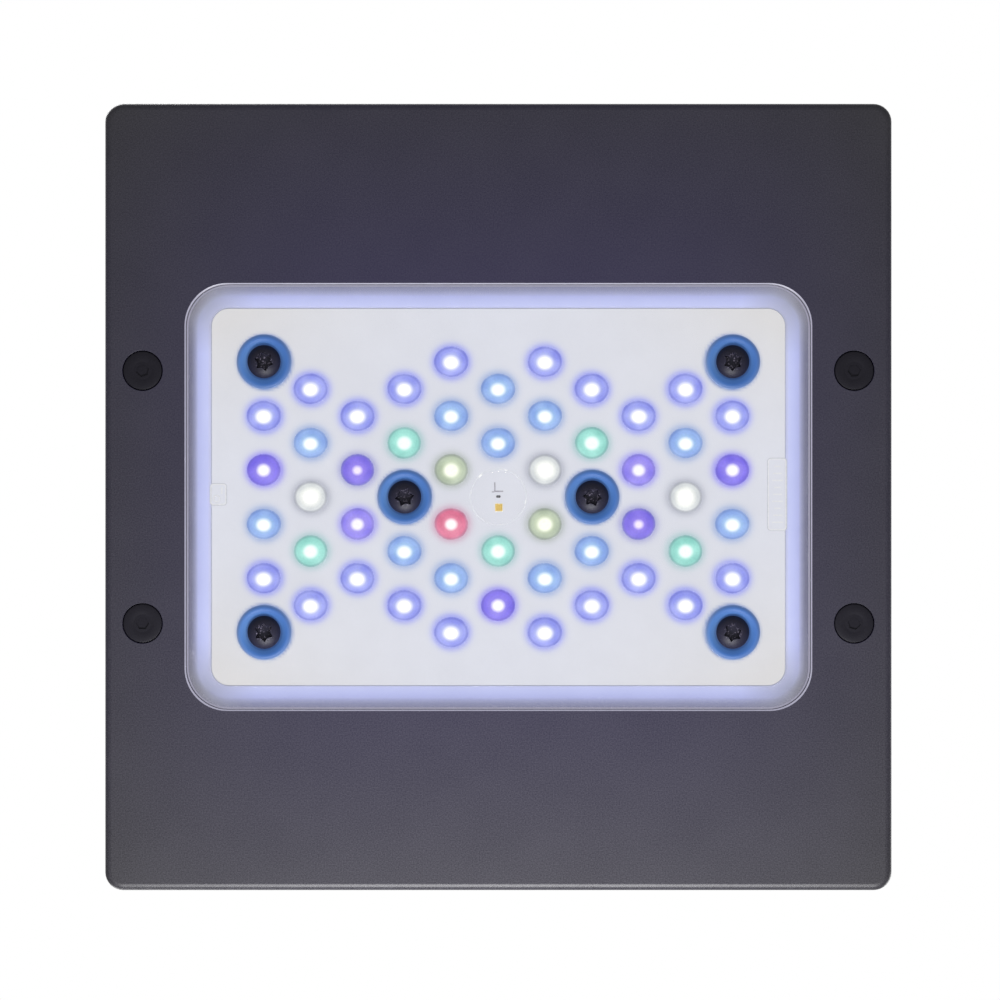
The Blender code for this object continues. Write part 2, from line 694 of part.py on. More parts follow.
def make_face_screws():
    """Flat disc heads sunk flush in the bezel, with a small hexagon socket."""
    head, shank, edge = FACE_HEAD_RADIUS, FACE_SHANK_RADIUS, 0.0003
    low, seat = FACE_HEAD_Z, FACE_HEAD_Z + FACE_HEAD_DEPTH
    bm = bmesh.new()
    turned(bm, [(0, low), (head - edge, low), (head, low + edge), (head, seat), (shank, seat),
                (shank, FACE_SCREW_TIP_Z), (0, FACE_SCREW_TIP_Z)], segments=16)
    screw = solid("face_screw", bm, BLACK_STEEL)
    bm = bmesh.new()
    prism(bm, polygon(HEX_SOCKET_RADIUS, 6), -CUT, low + 0.0013)
    cut(screw, bm)
    copies("face_screw", screw, four(*FACE_SCREW_AT))


def make_lens_screws():
    """Button heads with a six-lobe drive, seated in the cup washers."""
    under, tip = LENS_Z - 0.0010, LENS_SCREW_TIP_Z
    crown = under - BUTTON_HEAD_HEIGHT
    bm = bmesh.new()
    turned(bm, [(0, crown), (0.0020, crown + 0.0001), (0.0033, crown + 0.0009),
                (M4_HEAD_RADIUS, crown + 0.0018), (M4_HEAD_RADIUS, under), (M4_RADIUS, under),
                (M4_RADIUS, tip), (0, tip)])
    screw = solid("lens_screw", bm, BLACK_STEEL)
    bm = bmesh.new()
    prism(bm, six_lobe(M4_HEAD_RADIUS * 0.50, M4_HEAD_RADIUS * 0.37), -CUT, crown + 0.0013)
    cut(screw, bm)
    copies("lens_screw", screw, [(*site(*spot), 0.0) for spot in LENS_SCREW_SITES])


def make_lens_washers():
    """Cup washers: a raised rounded rim slopes in to a flat seat under the screw's head."""
    back = LENS_Z - GAP
    seat, seat_radius, rim = back - 0.0004, M4_HEAD_RADIUS + 0.0005, 0.0008
    bm = bmesh.new()
    turned(bm, [(M4_CLEARANCE, back), (WASHER_RADIUS, back),
                (WASHER_RADIUS, back - WASHER_HEIGHT + rim),
                (WASHER_RADIUS - rim, back - WASHER_HEIGHT), (seat_radius, seat),
                (M4_CLEARANCE, seat)], closed=True, segments=14)
    washer = solid("lens_washer", bm, BLUE_ANODISED)
    copies("lens_washer", washer, [(*site(*spot), 0.0) for spot in LENS_SCREW_SITES])


# Fan


def make_fan_frame():
    floor_z = FAN_Z + FAN_FLOOR
    bm = bmesh.new()
    prism(bm, rounded_rectangle(FAN_SIDE, FAN_SIDE, 0.0045, 3), FAN_Z, FAN_Z + FAN_DEPTH)
    frame = solid("fan_frame", bm, BLACK_PLASTIC)
    bm = bmesh.new()
    cylinder(bm, (0, 0), FAN_BORE_RADIUS, floor_z, FAN_Z + FAN_DEPTH + CUT, 40)
    for x, y, _ in four(FAN_HOLE_AT, FAN_HOLE_AT):
        cylinder(bm, (x, y), M4_CLEARANCE, FAN_Z - CUT, FAN_Z + FAN_DEPTH + CUT, 10)
    cut(frame, bm)
    bm = bmesh.new()
    for quarter in range(4):
        start = math.radians(90) * quarter
        outline = ring_sector(SEAT_RADIUS, FAN_BORE_RADIUS - 0.0005, start, start + math.radians(90),
                              STRUT_WIDTH / 2)
        prism(bm, outline, FAN_Z - CUT, floor_z + CUT)
    cut(frame, bm)
    bm = bmesh.new()
    low, high = floor_z - GAP, BEARING_TUBE_TOP_Z
    inner, outer = BEARING_TUBE
    turned(bm, [(inner, low), (outer, low), (outer, high), (inner, high)], closed=True)
    join(frame, bm)


def make_fan_motor():
    """The wound stator round the bearing tube, and the sleeve bearing inside it."""
    low, high = STATOR_Z
    notch, notch_at = 0.0022, STATOR_RADIUS - 0.0002
    bm = bmesh.new()
    prism(bm, polygon(STATOR_RADIUS, 16), low, high)
    stator = solid("fan_stator", bm, COPPER)
    bm = bmesh.new()
    cylinder(bm, (0, 0), BEARING_TUBE[1] + GAP, low - CUT, high + CUT)
    for quarter in range(4):
        angle = math.radians(45 + 90 * quarter)
        spot = (notch_at * math.cos(angle), notch_at * math.sin(angle))
        prism(bm, polygon(notch, 6, spot), low - CUT, high + CUT)
    cut(stator, bm)
    bm = bmesh.new()
    inner, (low, high) = SHAFT_RADIUS + SHAFT_CLEARANCE, BEARING_Z
    turned(bm, [(inner, low), (BEARING_RADIUS, low), (BEARING_RADIUS, high), (inner, high)],
           closed=True)
    solid("fan_bearing", bm, BRASS)


def make_fan_rotor():
    """A hub cup on its shaft, with twisted and swept blades."""
    inner = HUB_RADIUS - HUB_WALL
    round_in, round_down = HUB_ROUND
    bm = bmesh.new()
    turned(bm, [(0, HUB_TOP_Z), (HUB_RADIUS - round_in, HUB_TOP_Z),
                (HUB_RADIUS, HUB_TOP_Z - round_down), (HUB_RADIUS, HUB_SKIRT_Z),
                (inner, HUB_SKIRT_Z), (inner, HUB_INSIDE_Z), (SHAFT_RADIUS, HUB_INSIDE_Z),
                (SHAFT_RADIUS, SHAFT_END_Z), (0, SHAFT_END_Z)], segments=24)
    rotor = solid("fan_rotor", bm, BLACK_PLASTIC)
    bm = bmesh.new()
    for number in range(BLADE_COUNT):
        add_blade(bm, math.tau * number / BLADE_COUNT)
    join(rotor, bm)


def between(ends, along):
    return ends[0] + (ends[1] - ends[0]) * along


def add_blade(bm, angle):
    stations = 3
    root_radius = HUB_RADIUS - HUB_WALL / 3
    rings = []
    for station in range(stations + 1):
        along = station / stations
        radius = root_radius + along * (BLADE_TIP_RADIUS - root_radius)
        pitch = math.radians(between(BLADE_PITCH, along))
        half_chord = between(BLADE_HALF_CHORD, along)
        turn = angle + math.radians(BLADE_SWEEP) * along
        out = Vector((math.cos(turn), math.sin(turn), 0))
        around = Vector((-math.sin(turn), math.cos(turn), 0))
        up = Vector((0, 0, 1))
        chord = around * math.cos(pitch) + up * math.sin(pitch)
        through = up * math.cos(pitch) - around * math.sin(pitch)
        middle = out * radius + up * BLADE_MIDDLE_Z
        half = BLADE_THICKNESS / 2
        rings.append([middle + chord * a * half_chord + through * b * half
                      for a, b in ((1, 1), (-1, 1), (-1, -1), (1, -1))])
    loft(bm, rings)


# Driver electronics and the power inlet


def make_driver_board():
    x, y = DRIVER_AT
    high = DRIVER_Z + PCB_THICKNESS
    bm = bmesh.new()
    prism(bm, rounded_rectangle(*DRIVER_SIZE, 0.001, 1, (x, y)), DRIVER_Z, high)
    board = solid("driver_board", bm, GREEN_BOARD)
    bm = bmesh.new()
    for hx, width in HEADERS:
        prism(bm, rectangle(width, 0.0046, (hx, HEADER_Y)), high - GAP, HEADER_TOP_Z)
    join(board, bm)
    bm = bmesh.new()
    for side in (-1, 1):
        cylinder(bm, (side * DRIVER_POST_AT[0], DRIVER_POST_AT[1]), 0.0015, DRIVER_Z - CUT, high + CUT, 10)
    cut(board, bm)


def make_driver_parts():
    radius, height, rim = 0.0050, 0.0140, 0.0010
    bm = bmesh.new()
    turned(bm, [(0, 0), (radius - rim, 0), (radius, 0.6 * rim), (radius, height - 1.2 * rim),
                (radius - rim, height), (0, height)])
    capacitor = solid("capacitor", bm, CAPACITOR_SLEEVE)
    copies("capacitor", capacitor, [(x, PART_ROW_Y, PART_Z) for x in CAPACITOR_X])
    bm = bmesh.new()
    prism(bm, rounded_rectangle(0.012, 0.012, 0.003, 2), 0.0, 0.0065)
    choke = solid("choke", bm, CHOKE_SLEEVE)
    copies("choke", choke, [(x, PART_ROW_Y, PART_Z) for x in CHOKE_X])
    bm = bmesh.new()
    prism(bm, rectangle(0.009, 0.009), 0.0, 0.0012)
    solid("control_chip", bm, BLACK_PLASTIC, (CHIP_X, PART_ROW_Y, PART_Z))
    bm = bmesh.new()
    prism(bm, rectangle(0.020, 0.014), 0.0, 0.0010)
    module = solid("wireless_module", bm, STEEL, (MODULE_X, PART_ROW_Y, PART_Z))
    bm = bmesh.new()
    prism(bm, rounded_rectangle(0.013, 0.0125, 0.001, 1, (-0.0025, 0.0)), 0.0008, 0.0030)
    join(module, bm)


def make_dc_socket():
    """A barrel jack on the driver board: its nose fills the hole in the rear wall."""
    x, z = INLET_AT
    back, front = JACK_Y
    nose_end = BODY_SIDE / 2 - GAP
    bm = bmesh.new()
    prism(bm, rectangle(JACK_WIDTH, front - back, (x, (front + back) / 2)), PART_Z, JACK_TOP_Z)
    jack = solid("dc_socket", bm, BLACK_PLASTIC)
    bm = bmesh.new()
    nose, length = INLET_NOSE_RADIUS, nose_end - front + GAP
    turned(bm, [(0, 0), (nose, 0), (nose, length), (0, length)], segments=16,
           matrix=along_y((x, front - GAP, z)))
    join(jack, bm)

    # the bore leaves a pin in its middle, which ends 1 mm short of the mouth
    pin_inset = 0.0010
    bore_start = along_y((x, nose_end - INLET_BORE_DEPTH, z))
    bore, pin, end = INLET_BORE_RADIUS, INLET_PIN_RADIUS, INLET_BORE_DEPTH - pin_inset / 2
    bm = bmesh.new()
    turned(bm, [(pin, 0), (bore, 0), (bore, end), (pin, end)], segments=16, closed=True,
           matrix=bore_start)
    cut(jack, bm)
    bm = bmesh.new()
    mouth, past = INLET_BORE_DEPTH - pin_inset, INLET_BORE_DEPTH + CUT
    turned(bm, [(0, mouth), (bore, mouth), (bore, past), (0, past)], segments=16,
           matrix=bore_start)
    cut(jack, bm)


# Control


def make_key_board():
    x, y = KEY_AT
    bm = bmesh.new()
    prism(bm, rectangle(*KEY_BOARD_SIZE, KEY_AT), KEY_BOARD_Z, KEY_BOARD_Z + KEY_BOARD_THICKNESS)
    board = solid("key_board", bm, GREEN_BOARD)
    bm = bmesh.new()
    for side in (-1, 1):
        cylinder(bm, (side * KEY_POST_X, y), 0.0013, KEY_BOARD_Z - CUT, KEY_BOARD_Z + CUT, 10)
    cut(board, bm)

    bm = bmesh.new()
    case, case_height, plunger_height = 0.0060, 0.0025, 0.0035
    prism(bm, rectangle(case, case, (x, y)), KEY_PART_Z, KEY_PART_Z + case_height)
    switch = solid("tact_switch", bm, STEEL)
    bm = bmesh.new()
    cylinder(bm, (x, y), 0.0016, KEY_PART_Z + case_height - GAP, KEY_PART_Z + plunger_height)
    join(switch, bm)


def make_mode_button():
    """A round key with a dished top. Its flange stays under the roof; it travels 1 mm down."""
    under_roof = ROOF_Z - ROOF_THICKNESS - GAP
    stem, flange_low = 0.0015, under_roof - 0.0012
    bm = bmesh.new()
    turned(bm, [(0, ROOF_Z + 0.00005), (0.0030, ROOF_Z + 0.0002), (0.0044, ROOF_Z + 0.0004),
                (BUTTON_RADIUS, ROOF_Z), (BUTTON_RADIUS, under_roof), (FLANGE_RADIUS, under_roof),
                (FLANGE_RADIUS, flange_low), (stem, flange_low), (stem, BUTTON_END_Z),
                (0, BUTTON_END_Z)], segments=16)
    solid("mode_button", bm, KEY_PLASTIC, (*KEY_AT, 0.0))


def make_status_light():
    """A light pipe from the key board to the roof, kept in by its flange."""
    under_roof = ROOF_Z - ROOF_THICKNESS - GAP
    flange_low = under_roof - 0.0010
    bm = bmesh.new()
    turned(bm, [(0, ROOF_Z), (LIGHT_RADIUS, ROOF_Z), (LIGHT_RADIUS, under_roof),
                (LIGHT_FLANGE_RADIUS, under_roof), (LIGHT_FLANGE_RADIUS, flange_low),
                (LIGHT_RADIUS, flange_low), (LIGHT_RADIUS, KEY_PART_Z), (0, KEY_PART_Z)])
    solid("status_light", bm, CLEAR, (LIGHT_X, KEY_AT[1], 0.0))


# Leads held inside


def smooth_route(stops, steps=3):
    """Points of a Catmull-Rom curve through the stops."""
    path = [Vector(stop) for stop in stops]
    path = [2 * path[0] - path[1]] + path + [2 * path[-1] - path[-2]]
    points = []
    for a, b, c, d in zip(path, path[1:], path[2:], path[3:]):
        for step in range(steps):
            t = step / steps
            points.append(0.5 * (2 * b + (c - a) * t + (2 * a - 5 * b + 4 * c - d) * t**2
                                 + (3 * b - a - 3 * c + d) * t**3))
    points.append(path[-2])
    return points


def make_lead(name, stops, finish):
    curve = bpy.data.curves.new(name, "CURVE")
    curve.dimensions = "3D"
    curve.bevel_depth = LEAD_RADIUS
    curve.bevel_resolution = 1
    curve.use_fill_caps = True
    points = smooth_route(stops)
    spline = curve.splines.new("POLY")
    spline.points.add(len(points) - 1)
    for point, where in zip(spline.points, points):
        point.co = (*where, 1.0)
    place(name, curve, finish)


def into_header(x):
    """The last two stops of a lead: straight down onto its header."""
    return [(x, HEADER_Y, HEADER_EXIT_Z + 0.0035), (x, HEADER_Y, HEADER_EXIT_Z)]


def make_leads():
    x, y, z = LEAD_START
    make_lead("led_lead", [(x, y, z), (x, 0.0500, z), (0.0225, 0.0560, 0.0090),
                           (0.0260, 0.0575, 0.0140)] + into_header(HEADERS[2][0]), RED_WIRE)
    make_lead("fan_lead", [(0.0060, FAN_SIDE / 2 + GAP, 0.0240), (0.0070, 0.0520, 0.0245),
                           (0.0090, 0.0600, 0.0220)] + into_header(HEADERS[1][0]), BLACK_WIRE)
    make_lead("key_lead", [(-KEY_BOARD_SIZE[0] / 2 - GAP, KEY_AT[1],
                            KEY_BOARD_Z + KEY_BOARD_THICKNESS / 2),
                           (-0.0360, -0.0740, 0.0275), (-0.0560, -0.0600, 0.0255),
                           (-0.0620, -0.0300, 0.0245), (-0.0620, 0.0200, 0.0245),
                           (-0.0560, 0.0480, 0.0245), (-0.0390, 0.0590, 0.0220)]
              + into_header(HEADERS[0][0]), GREY_WIRE)


def main():
    clear_scene()
    make_bezel_housing()
    make_top_cover()
    make_fan_grille()
    make_hanger_inserts()
    make_lens_plate()
    make_lens_gasket()
    make_led_board()
    make_sensors()
    make_thermal_pad()
    make_heat_sink()
    make_face_screws()
    make_lens_screws()
    make_lens_washers()
    make_countersunk("cover_screw", M3_HEAD_RADIUS, M3_RADIUS, COVER_SCREW_TIP_Z,
                     four(COVER_SCREW_AT, COVER_SCREW_AT))
    make_countersunk("fan_screw", M4_HEAD_RADIUS, M4_RADIUS, FAN_SCREW_TIP_Z,
                     four(FAN_HOLE_AT, FAN_HOLE_AT))
    make_fan_frame()
    make_fan_motor()
    make_fan_rotor()
    make_driver_board()
    make_driver_parts()
    make_dc_socket()
    make_key_board()
    make_mode_button()
    make_status_light()
    make_leads()


main()
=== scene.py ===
import math

import bmesh
import bpy
from mathutils import Matrix, Vector


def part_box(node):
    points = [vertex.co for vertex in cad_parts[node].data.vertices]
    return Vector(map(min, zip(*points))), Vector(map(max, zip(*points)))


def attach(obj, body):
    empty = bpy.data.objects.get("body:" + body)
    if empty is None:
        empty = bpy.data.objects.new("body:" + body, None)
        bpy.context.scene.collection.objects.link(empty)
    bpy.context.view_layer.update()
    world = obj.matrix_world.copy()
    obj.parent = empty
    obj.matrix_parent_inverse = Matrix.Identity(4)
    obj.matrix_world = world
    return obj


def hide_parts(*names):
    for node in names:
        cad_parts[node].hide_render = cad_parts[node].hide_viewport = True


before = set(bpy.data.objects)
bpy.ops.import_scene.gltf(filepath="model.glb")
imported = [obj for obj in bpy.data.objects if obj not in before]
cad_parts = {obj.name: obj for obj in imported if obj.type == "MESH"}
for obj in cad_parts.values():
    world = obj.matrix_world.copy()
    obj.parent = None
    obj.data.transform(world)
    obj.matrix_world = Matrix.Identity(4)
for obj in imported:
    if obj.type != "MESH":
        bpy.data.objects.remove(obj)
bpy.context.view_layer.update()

scene = bpy.context.scene
mm = 0.001  # the shapes below are drawn in millimetres
quarter = math.radians(90)
gap = 0.3  # left between pieces that touch


# mesh helpers

def moved(bm, vector):
    bmesh.ops.translate(bm, vec=vector, verts=bm.verts)
    return bm


def rotated(bm, angle, axis="Z"):
    bmesh.ops.rotate(bm, verts=bm.verts, matrix=Matrix.Rotation(angle, 3, axis))
    return bm


def softenEdges(bm, edges, amount, steps):
    bmesh.ops.bevel(bm, geom=edges, affect="EDGES", offset=amount, offset_type="OFFSET",
                    segments=steps, profile=0.5, material=-1)


def uprightEdges(bm):
    return [edge for edge in bm.edges if abs(edge.verts[0].co.z - edge.verts[1].co.z) > 1e-4]


def edgesAt(bm, height):
    return [edge for edge in bm.edges if all(abs(v.co.z - height) < 1e-4 for v in edge.verts)]


def block(size, low, high, corner=0.0, steps=8, lowRound=0.0, highRound=0.0, roundSteps=4,
          centre=(0.0, 0.0)):
    # an upright box with rounded corners, and rounded rims where asked
    bm = bmesh.new()
    bmesh.ops.create_cube(bm, size=1)
    bmesh.ops.scale(bm, vec=(size[0], size[1], high - low), verts=bm.verts)
    moved(bm, (*centre, (low + high) / 2))
    if corner:
        softenEdges(bm, uprightEdges(bm), corner, steps)
    for height, amount in ((low, lowRound), (high, highRound)):
        if amount:
            softenEdges(bm, edgesAt(bm, height), amount, roundSteps)
    return bm


def lathe(profile, steps=32, closed=False, centre=(0.0, 0.0, 0.0)):
    # turns (radius, height) points about the upright axis
    bm = bmesh.new()
    verts = [bm.verts.new((radius, 0, height)) for radius, height in profile]
    pairs = list(zip(verts, verts[1:]))
    if closed:
        pairs.append((verts[-1], verts[0]))
    edges = [bm.edges.new(pair) for pair in pairs]
    bmesh.ops.spin(bm, geom=verts + edges, cent=(0, 0, 0), axis=(0, 0, 1), angle=math.tau,
                   steps=steps, use_merge=True)
    bmesh.ops.remove_doubles(bm, verts=bm.verts, dist=1e-5)
    bmesh.ops.recalc_face_normals(bm, faces=bm.faces)
    return moved(bm, centre)


def rod(radius, low, high, steps=32, centre=(0.0, 0.0), turn=0.0):
    bm = bmesh.new()
    bmesh.ops.create_cone(bm, cap_ends=True, segments=steps, radius1=radius, radius2=radius,
                          depth=high - low, matrix=Matrix.Rotation(turn, 4, "Z"))
    return moved(bm, (*centre, (low + high) / 2))


def pour(bm, *others):
    # adds other bmeshes to the first
    for other in others:
        mesh = bpy.data.meshes.new("poured")
        other.to_mesh(mesh)
        other.free()
        bm.from_mesh(mesh)
        bpy.data.meshes.remove(mesh)
    return bm


def combine(bm, tool, operation="DIFFERENCE"):
    # Boolean of two closed bmeshes
    pair = []
    for part in (bm, tool):
        bmesh.ops.recalc_face_normals(part, faces=part.faces)
        mesh = bpy.data.meshes.new("part")
        part.to_mesh(mesh)
        part.free()
        pair.append(bpy.data.objects.new("part", mesh))
        scene.collection.objects.link(pair[-1])
    modifier = pair[0].modifiers.new("combine", "BOOLEAN")
    modifier.operation = operation
    modifier.object = pair[1]
    result = bmesh.new()
    result.from_object(pair[0], bpy.context.evaluated_depsgraph_get())
    for obj in pair:
        bpy.data.objects.remove(obj)
    return result


def radialUV(bm, shift=0.0, reach=4.0):
    # U is the distance from the middle in centimetres, V the angle from +X, 0 to 1 either way;
    # shift moves the middle of the rings along Y, less and less out to reach
    layer = bm.loops.layers.uv.verify()
    for face in bm.faces:
        for loop in face.loops:
            x, y = loop.vert.co.xy
            pull = shift * max(0.0, 1 - math.hypot(x, y) / reach)
            loop[layer].uv = (math.hypot(x, y - pull) / 10, abs(math.atan2(y, x)) / math.pi)


def shadeSmooth(bm, sharp):
    # smooth, but for folds past the limit and the outlines of large flat faces
    areas = {face: face.calc_area() for face in bm.faces}
    for face in bm.faces:
        face.smooth = True
    for edge in bm.edges:
        if len(edge.link_faces) != 2:
            continue
        fold = math.degrees(edge.calc_face_angle(0.0))
        small, large = sorted(areas[face] for face in edge.link_faces)
        edge.smooth = fold < sharp and not (fold > 2 and large > 40 and small < large / 4)


def makePiece(name, bm, material, nodes=(), body="lamp", sharp=35, accent=None):
    # bm is in millimetres; the finished mesh is in metres, with its object at the origin
    bmesh.ops.remove_doubles(bm, verts=bm.verts, dist=1e-4)
    bmesh.ops.recalc_face_normals(bm, faces=bm.faces)
    shadeSmooth(bm, sharp)
    for face in bm.faces:
        face.material_index = int(bool(accent and accent(face)))
    bmesh.ops.scale(bm, vec=(mm, mm, mm), verts=bm.verts)
    mesh = bpy.data.meshes.new(name)
    bm.to_mesh(mesh)
    bm.free()
    piece = bpy.data.objects.new(name, mesh)
    scene.collection.objects.link(piece)
    for item in material if isinstance(material, list) else [material]:
        mesh.materials.append(item)
    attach(piece, body)
    if nodes:
        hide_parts(*nodes)
    return piece


def middle(node):
    low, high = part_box(node)
    return (low + high) / 2 / mm


def fromBox(node):
    low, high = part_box(node)
    return low / mm, high / mm


# material helpers

def tone(red, green, blue, scale=1.0):
    # a screen colour, 0 to 255, as the shader's linear colour
    channels = [value / 255 for value in (red, green, blue)]
    linear = [c / 12.92 if c <= 0.04045 else ((c + 0.055) / 1.055) ** 2.4 for c in channels]
    return (*[c * scale for c in linear], 1.0)


class Wire:
    # one output socket; arithmetic on it adds Math nodes
    def __init__(self, paint, socket):
        self.paint = paint
        self.socket = socket

    def __add__(self, other):
        return self.paint.calc("ADD", self, other)

    def __radd__(self, other):
        return self.paint.calc("ADD", other, self)

    def __sub__(self, other):
        return self.paint.calc("SUBTRACT", self, other)

    def __rsub__(self, other):
        return self.paint.calc("SUBTRACT", other, self)

    def __mul__(self, other):
        return self.paint.calc("MULTIPLY", self, other)

    def __rmul__(self, other):
        return self.paint.calc("MULTIPLY", other, self)

    def __truediv__(self, other):
        return self.paint.calc("DIVIDE", self, other)

    def __pow__(self, other):
        return self.paint.calc("POWER", self, other)

    def __abs__(self):
        return self.paint.calc("ABSOLUTE", self)

    def above(self, limit, soft):
        # 0 below the limit, 1 past limit + soft
        return self.paint.calc("DIVIDE", self - limit, soft, clamp=True)


class Paint:
    def __init__(self, name):
        self.material = bpy.data.materials.new(name)
        self.material.use_nodes = True
        self.tree = self.material.node_tree
        self.shader = self.tree.nodes["Principled BSDF"]

    def add(self, kind, settings=None, values=None, out=0):
        node = self.tree.nodes.new("ShaderNode" + kind)
        for key, value in (settings or {}).items():
            setattr(node, key, value)
        for key, value in (values or {}).items():
            self.feed(node.inputs[key], value)
        return Wire(self, node.outputs[out])

    def calc(self, operation, *values, clamp=False):
        settings = {"operation": operation, "use_clamp": clamp}
        return self.add("Math", settings, dict(enumerate(values)))

    def feed(self, socket, value):
        if isinstance(value, Wire):
            self.tree.links.new(value.socket, socket)
        else:
            socket.default_value = value

    def where(self):
        # object coordinates in millimetres
        place = self.add("TexCoord", out="Object")
        return self.add("VectorMath", {"operation": "SCALE"}, {0: place, "Scale": 1 / mm})

    def parts(self, vector):
        split = self.add("SeparateXYZ", values={0: vector})
        return [Wire(self, socket) for socket in split.socket.node.outputs]

    def polar(self):
        # a round piece's own UV map: distance from its middle in millimetres, and angle, 0 to 1
        radius, turn = self.parts(self.add("UVMap"))[:2]
        return radius * 10, turn

    def noise(self, size, detail=2.0, stretch=None):
        # size is the grain's size in millimetres
        place = self.where()
        if stretch:
            place = self.add("Mapping", values={"Vector": place, "Scale": stretch})
        return self.add("TexNoise", values={"Vector": place, "Scale": 1 / size, "Detail": detail})

    def mix(self, factor, first, second, mode="MIX"):
        settings = {"data_type": "RGBA", "blend_type": mode}
        return self.add("Mix", settings, {0: factor, 6: first, 7: second}, out=2)

    def ramp(self, wire, stops, reach=1.0):
        # the stops' colours along a wire that runs from 0 to reach
        shade = self.add("ValToRGB", values={0: wire / reach})
        elements = shade.socket.node.color_ramp.elements
        while len(elements) < len(stops):
            elements.new(0.5)
        for element, (place, color) in zip(elements, stops):
            element.position = place / reach
            element.color = color
        return shade

    def vary(self, color, amount, wire):
        # the colour, darker and lighter by amount as wire goes from 0 to 1
        dark = (*[c * (1 - amount) for c in color[:3]], 1.0)
        light = (*[c * (1 + amount) for c in color[:3]], 1.0)
        return self.mix(wire.above(0.3, 0.4), dark, light)

    def bump(self, height, distance, strength=1.0):
        values = {"Height": height, "Distance": distance * mm, "Strength": strength}
        self.feed(self.shader.inputs["Normal"], self.add("Bump", values=values))

    def glow(self, color, strength):
        # light of the piece's own, too weak to be sampled as a lamp
        self.material.cycles.emission_sampling = "NONE"
        self.finish({"Emission Color": color, "Emission Strength": strength})

    def finish(self, sockets):
        for key, value in sockets.items():
            self.feed(self.shader.inputs[key], value)
        return self.material


def powderCoat(name, color, grain=0.32, glow=False):
    paint = Paint(name)
    fine = paint.noise(grain, 3.0)
    broad = paint.noise(14.0, 2.0)
    shade = paint.vary(color, 0.48, fine * 0.85 + broad * 0.15)
    paint.bump(fine, 0.035, 0.55)
    rough = 0.34 + fine * 0.14
    if glow:
        # light from the window tints the face round it
        x, y, z = paint.parts(paint.where())
        reach = (x * x * x * x + y * y * y * y) ** 0.25
        near = (1 - reach.above(48.0, 60.0)) * (1 - z.above(0.8, 0.6))
        tint = paint.mix(near, (0, 0, 0, 1), (0.004, 0.001, 0.034, 1))
        paint.finish({"Emission Color": tint, "Emission Strength": 1.0})
    return paint.finish({"Base Color": shade, "Roughness": rough, "Specular IOR Level": 0.28})


def moulded(name, color, roughness=0.45, grain=0.5, depth=0.03):
    paint = Paint(name)
    fine = paint.noise(grain, 2.0)
    paint.bump(fine, depth, 0.5)
    return paint.finish({"Base Color": paint.vary(color, 0.18, paint.noise(grain * 5)),
                         "Roughness": roughness - 0.06 + fine * 0.12})


def metal(name, color, roughness, stretch=None, grain=0.25, depth=0.01):
    # stretch draws the grain out into lines
    paint = Paint(name)
    lines = paint.noise(grain, 3.0, stretch)
    paint.bump(lines, depth, 0.6)
    return paint.finish({"Base Color": paint.vary(color, 0.14, lines), "Metallic": 1.0,
                         "Roughness": roughness - 0.08 + lines * 0.16})


def turnedMetal(name, color, roughness, metallic=1.0, gloss=0.5):
    # fine rings left by a lathe, on the piece's own radius
    paint = Paint(name)
    pitch = 0.22
    rings = paint.calc("SINE", paint.polar()[0] * (math.tau / pitch)) * 0.5 + 0.5
    fine = paint.noise(0.3, 3.0)
    paint.bump(rings * 0.6 + fine * 0.4, 0.012, 0.5)
    return paint.finish({"Base Color": paint.vary(color, 0.12, fine), "Metallic": metallic,
                         "Specular IOR Level": gloss,
                         "Roughness": roughness - 0.06 + (rings * 0.5 + fine * 0.5) * 0.12})


def paintedGlintDrive(name, color):
    # black oxide, its drive dotted with painted highlight specks that stand in for glints of light
    paint = Paint(name)
    fine = paint.noise(0.3, 3.0)
    near = 1 - paint.polar()[0].above(1.3, 0.9)
    glintSpecks = paint.noise(0.42, 1.0).above(0.58, 0.1) * near
    shade = paint.mix(glintSpecks, paint.vary(color, 0.25, fine), tone(118, 112, 130))
    paint.bump(fine, 0.02, 0.6)
    return paint.finish({"Base Color": shade, "Roughness": 0.42 + fine * 0.16,
                         "Specular IOR Level": 0.2})


def anodised(name):
    # satin blue with painted light: a painted glow stands in for the emitters' light round it, it
    # is darker in next to the head, the rolled rim is paler as a painted highlight, and it is
    # brighter towards -X as a painted sheen
    paint = Paint(name)
    radius, turn = paint.polar()
    fine = paint.noise(0.3, 3.0)
    shade = paint.ramp(radius, [
        (0.0, (0.03, 0.06, 0.16, 1)), (3.9, (0.04, 0.08, 0.19, 1)),
        (4.4, (0.062, 0.14, 0.325, 1)), (5.3, (0.046, 0.122, 0.318, 1)),
        (5.8, (0.064, 0.13, 0.296, 1)), (6.1, (0.11, 0.165, 0.31, 1)),
        (6.35, (0.23, 0.285, 0.43, 1))], 6.4)
    sheen = paint.calc("COSINE", turn * math.tau) * 0.2 + turn * 0.6 + 0.2
    shade = paint.mix(1 - sheen, shade, (0.5, 0.66, 0.86, 1), "MULTIPLY")
    paint.bump(fine, 0.01, 0.4)
    paint.glow(shade, 0.95)
    return paint.finish({"Base Color": paint.mix(0.6, shade, (0, 0, 0, 1)),
                         "Roughness": 0.5 + fine * 0.1, "Specular IOR Level": 0.2})


def edgeLight(name, color, strength):
    # an edge that carries light out from behind the lens
    paint = Paint(name)
    fine = paint.noise(0.6, 2.0)
    paint.bump(fine, 0.01, 0.3)
    paint.glow(paint.vary(tone(*color), 0.06, fine), strength)
    return paint.finish({"Base Color": tone(60, 60, 66), "Roughness": 0.4 + fine * 0.1})


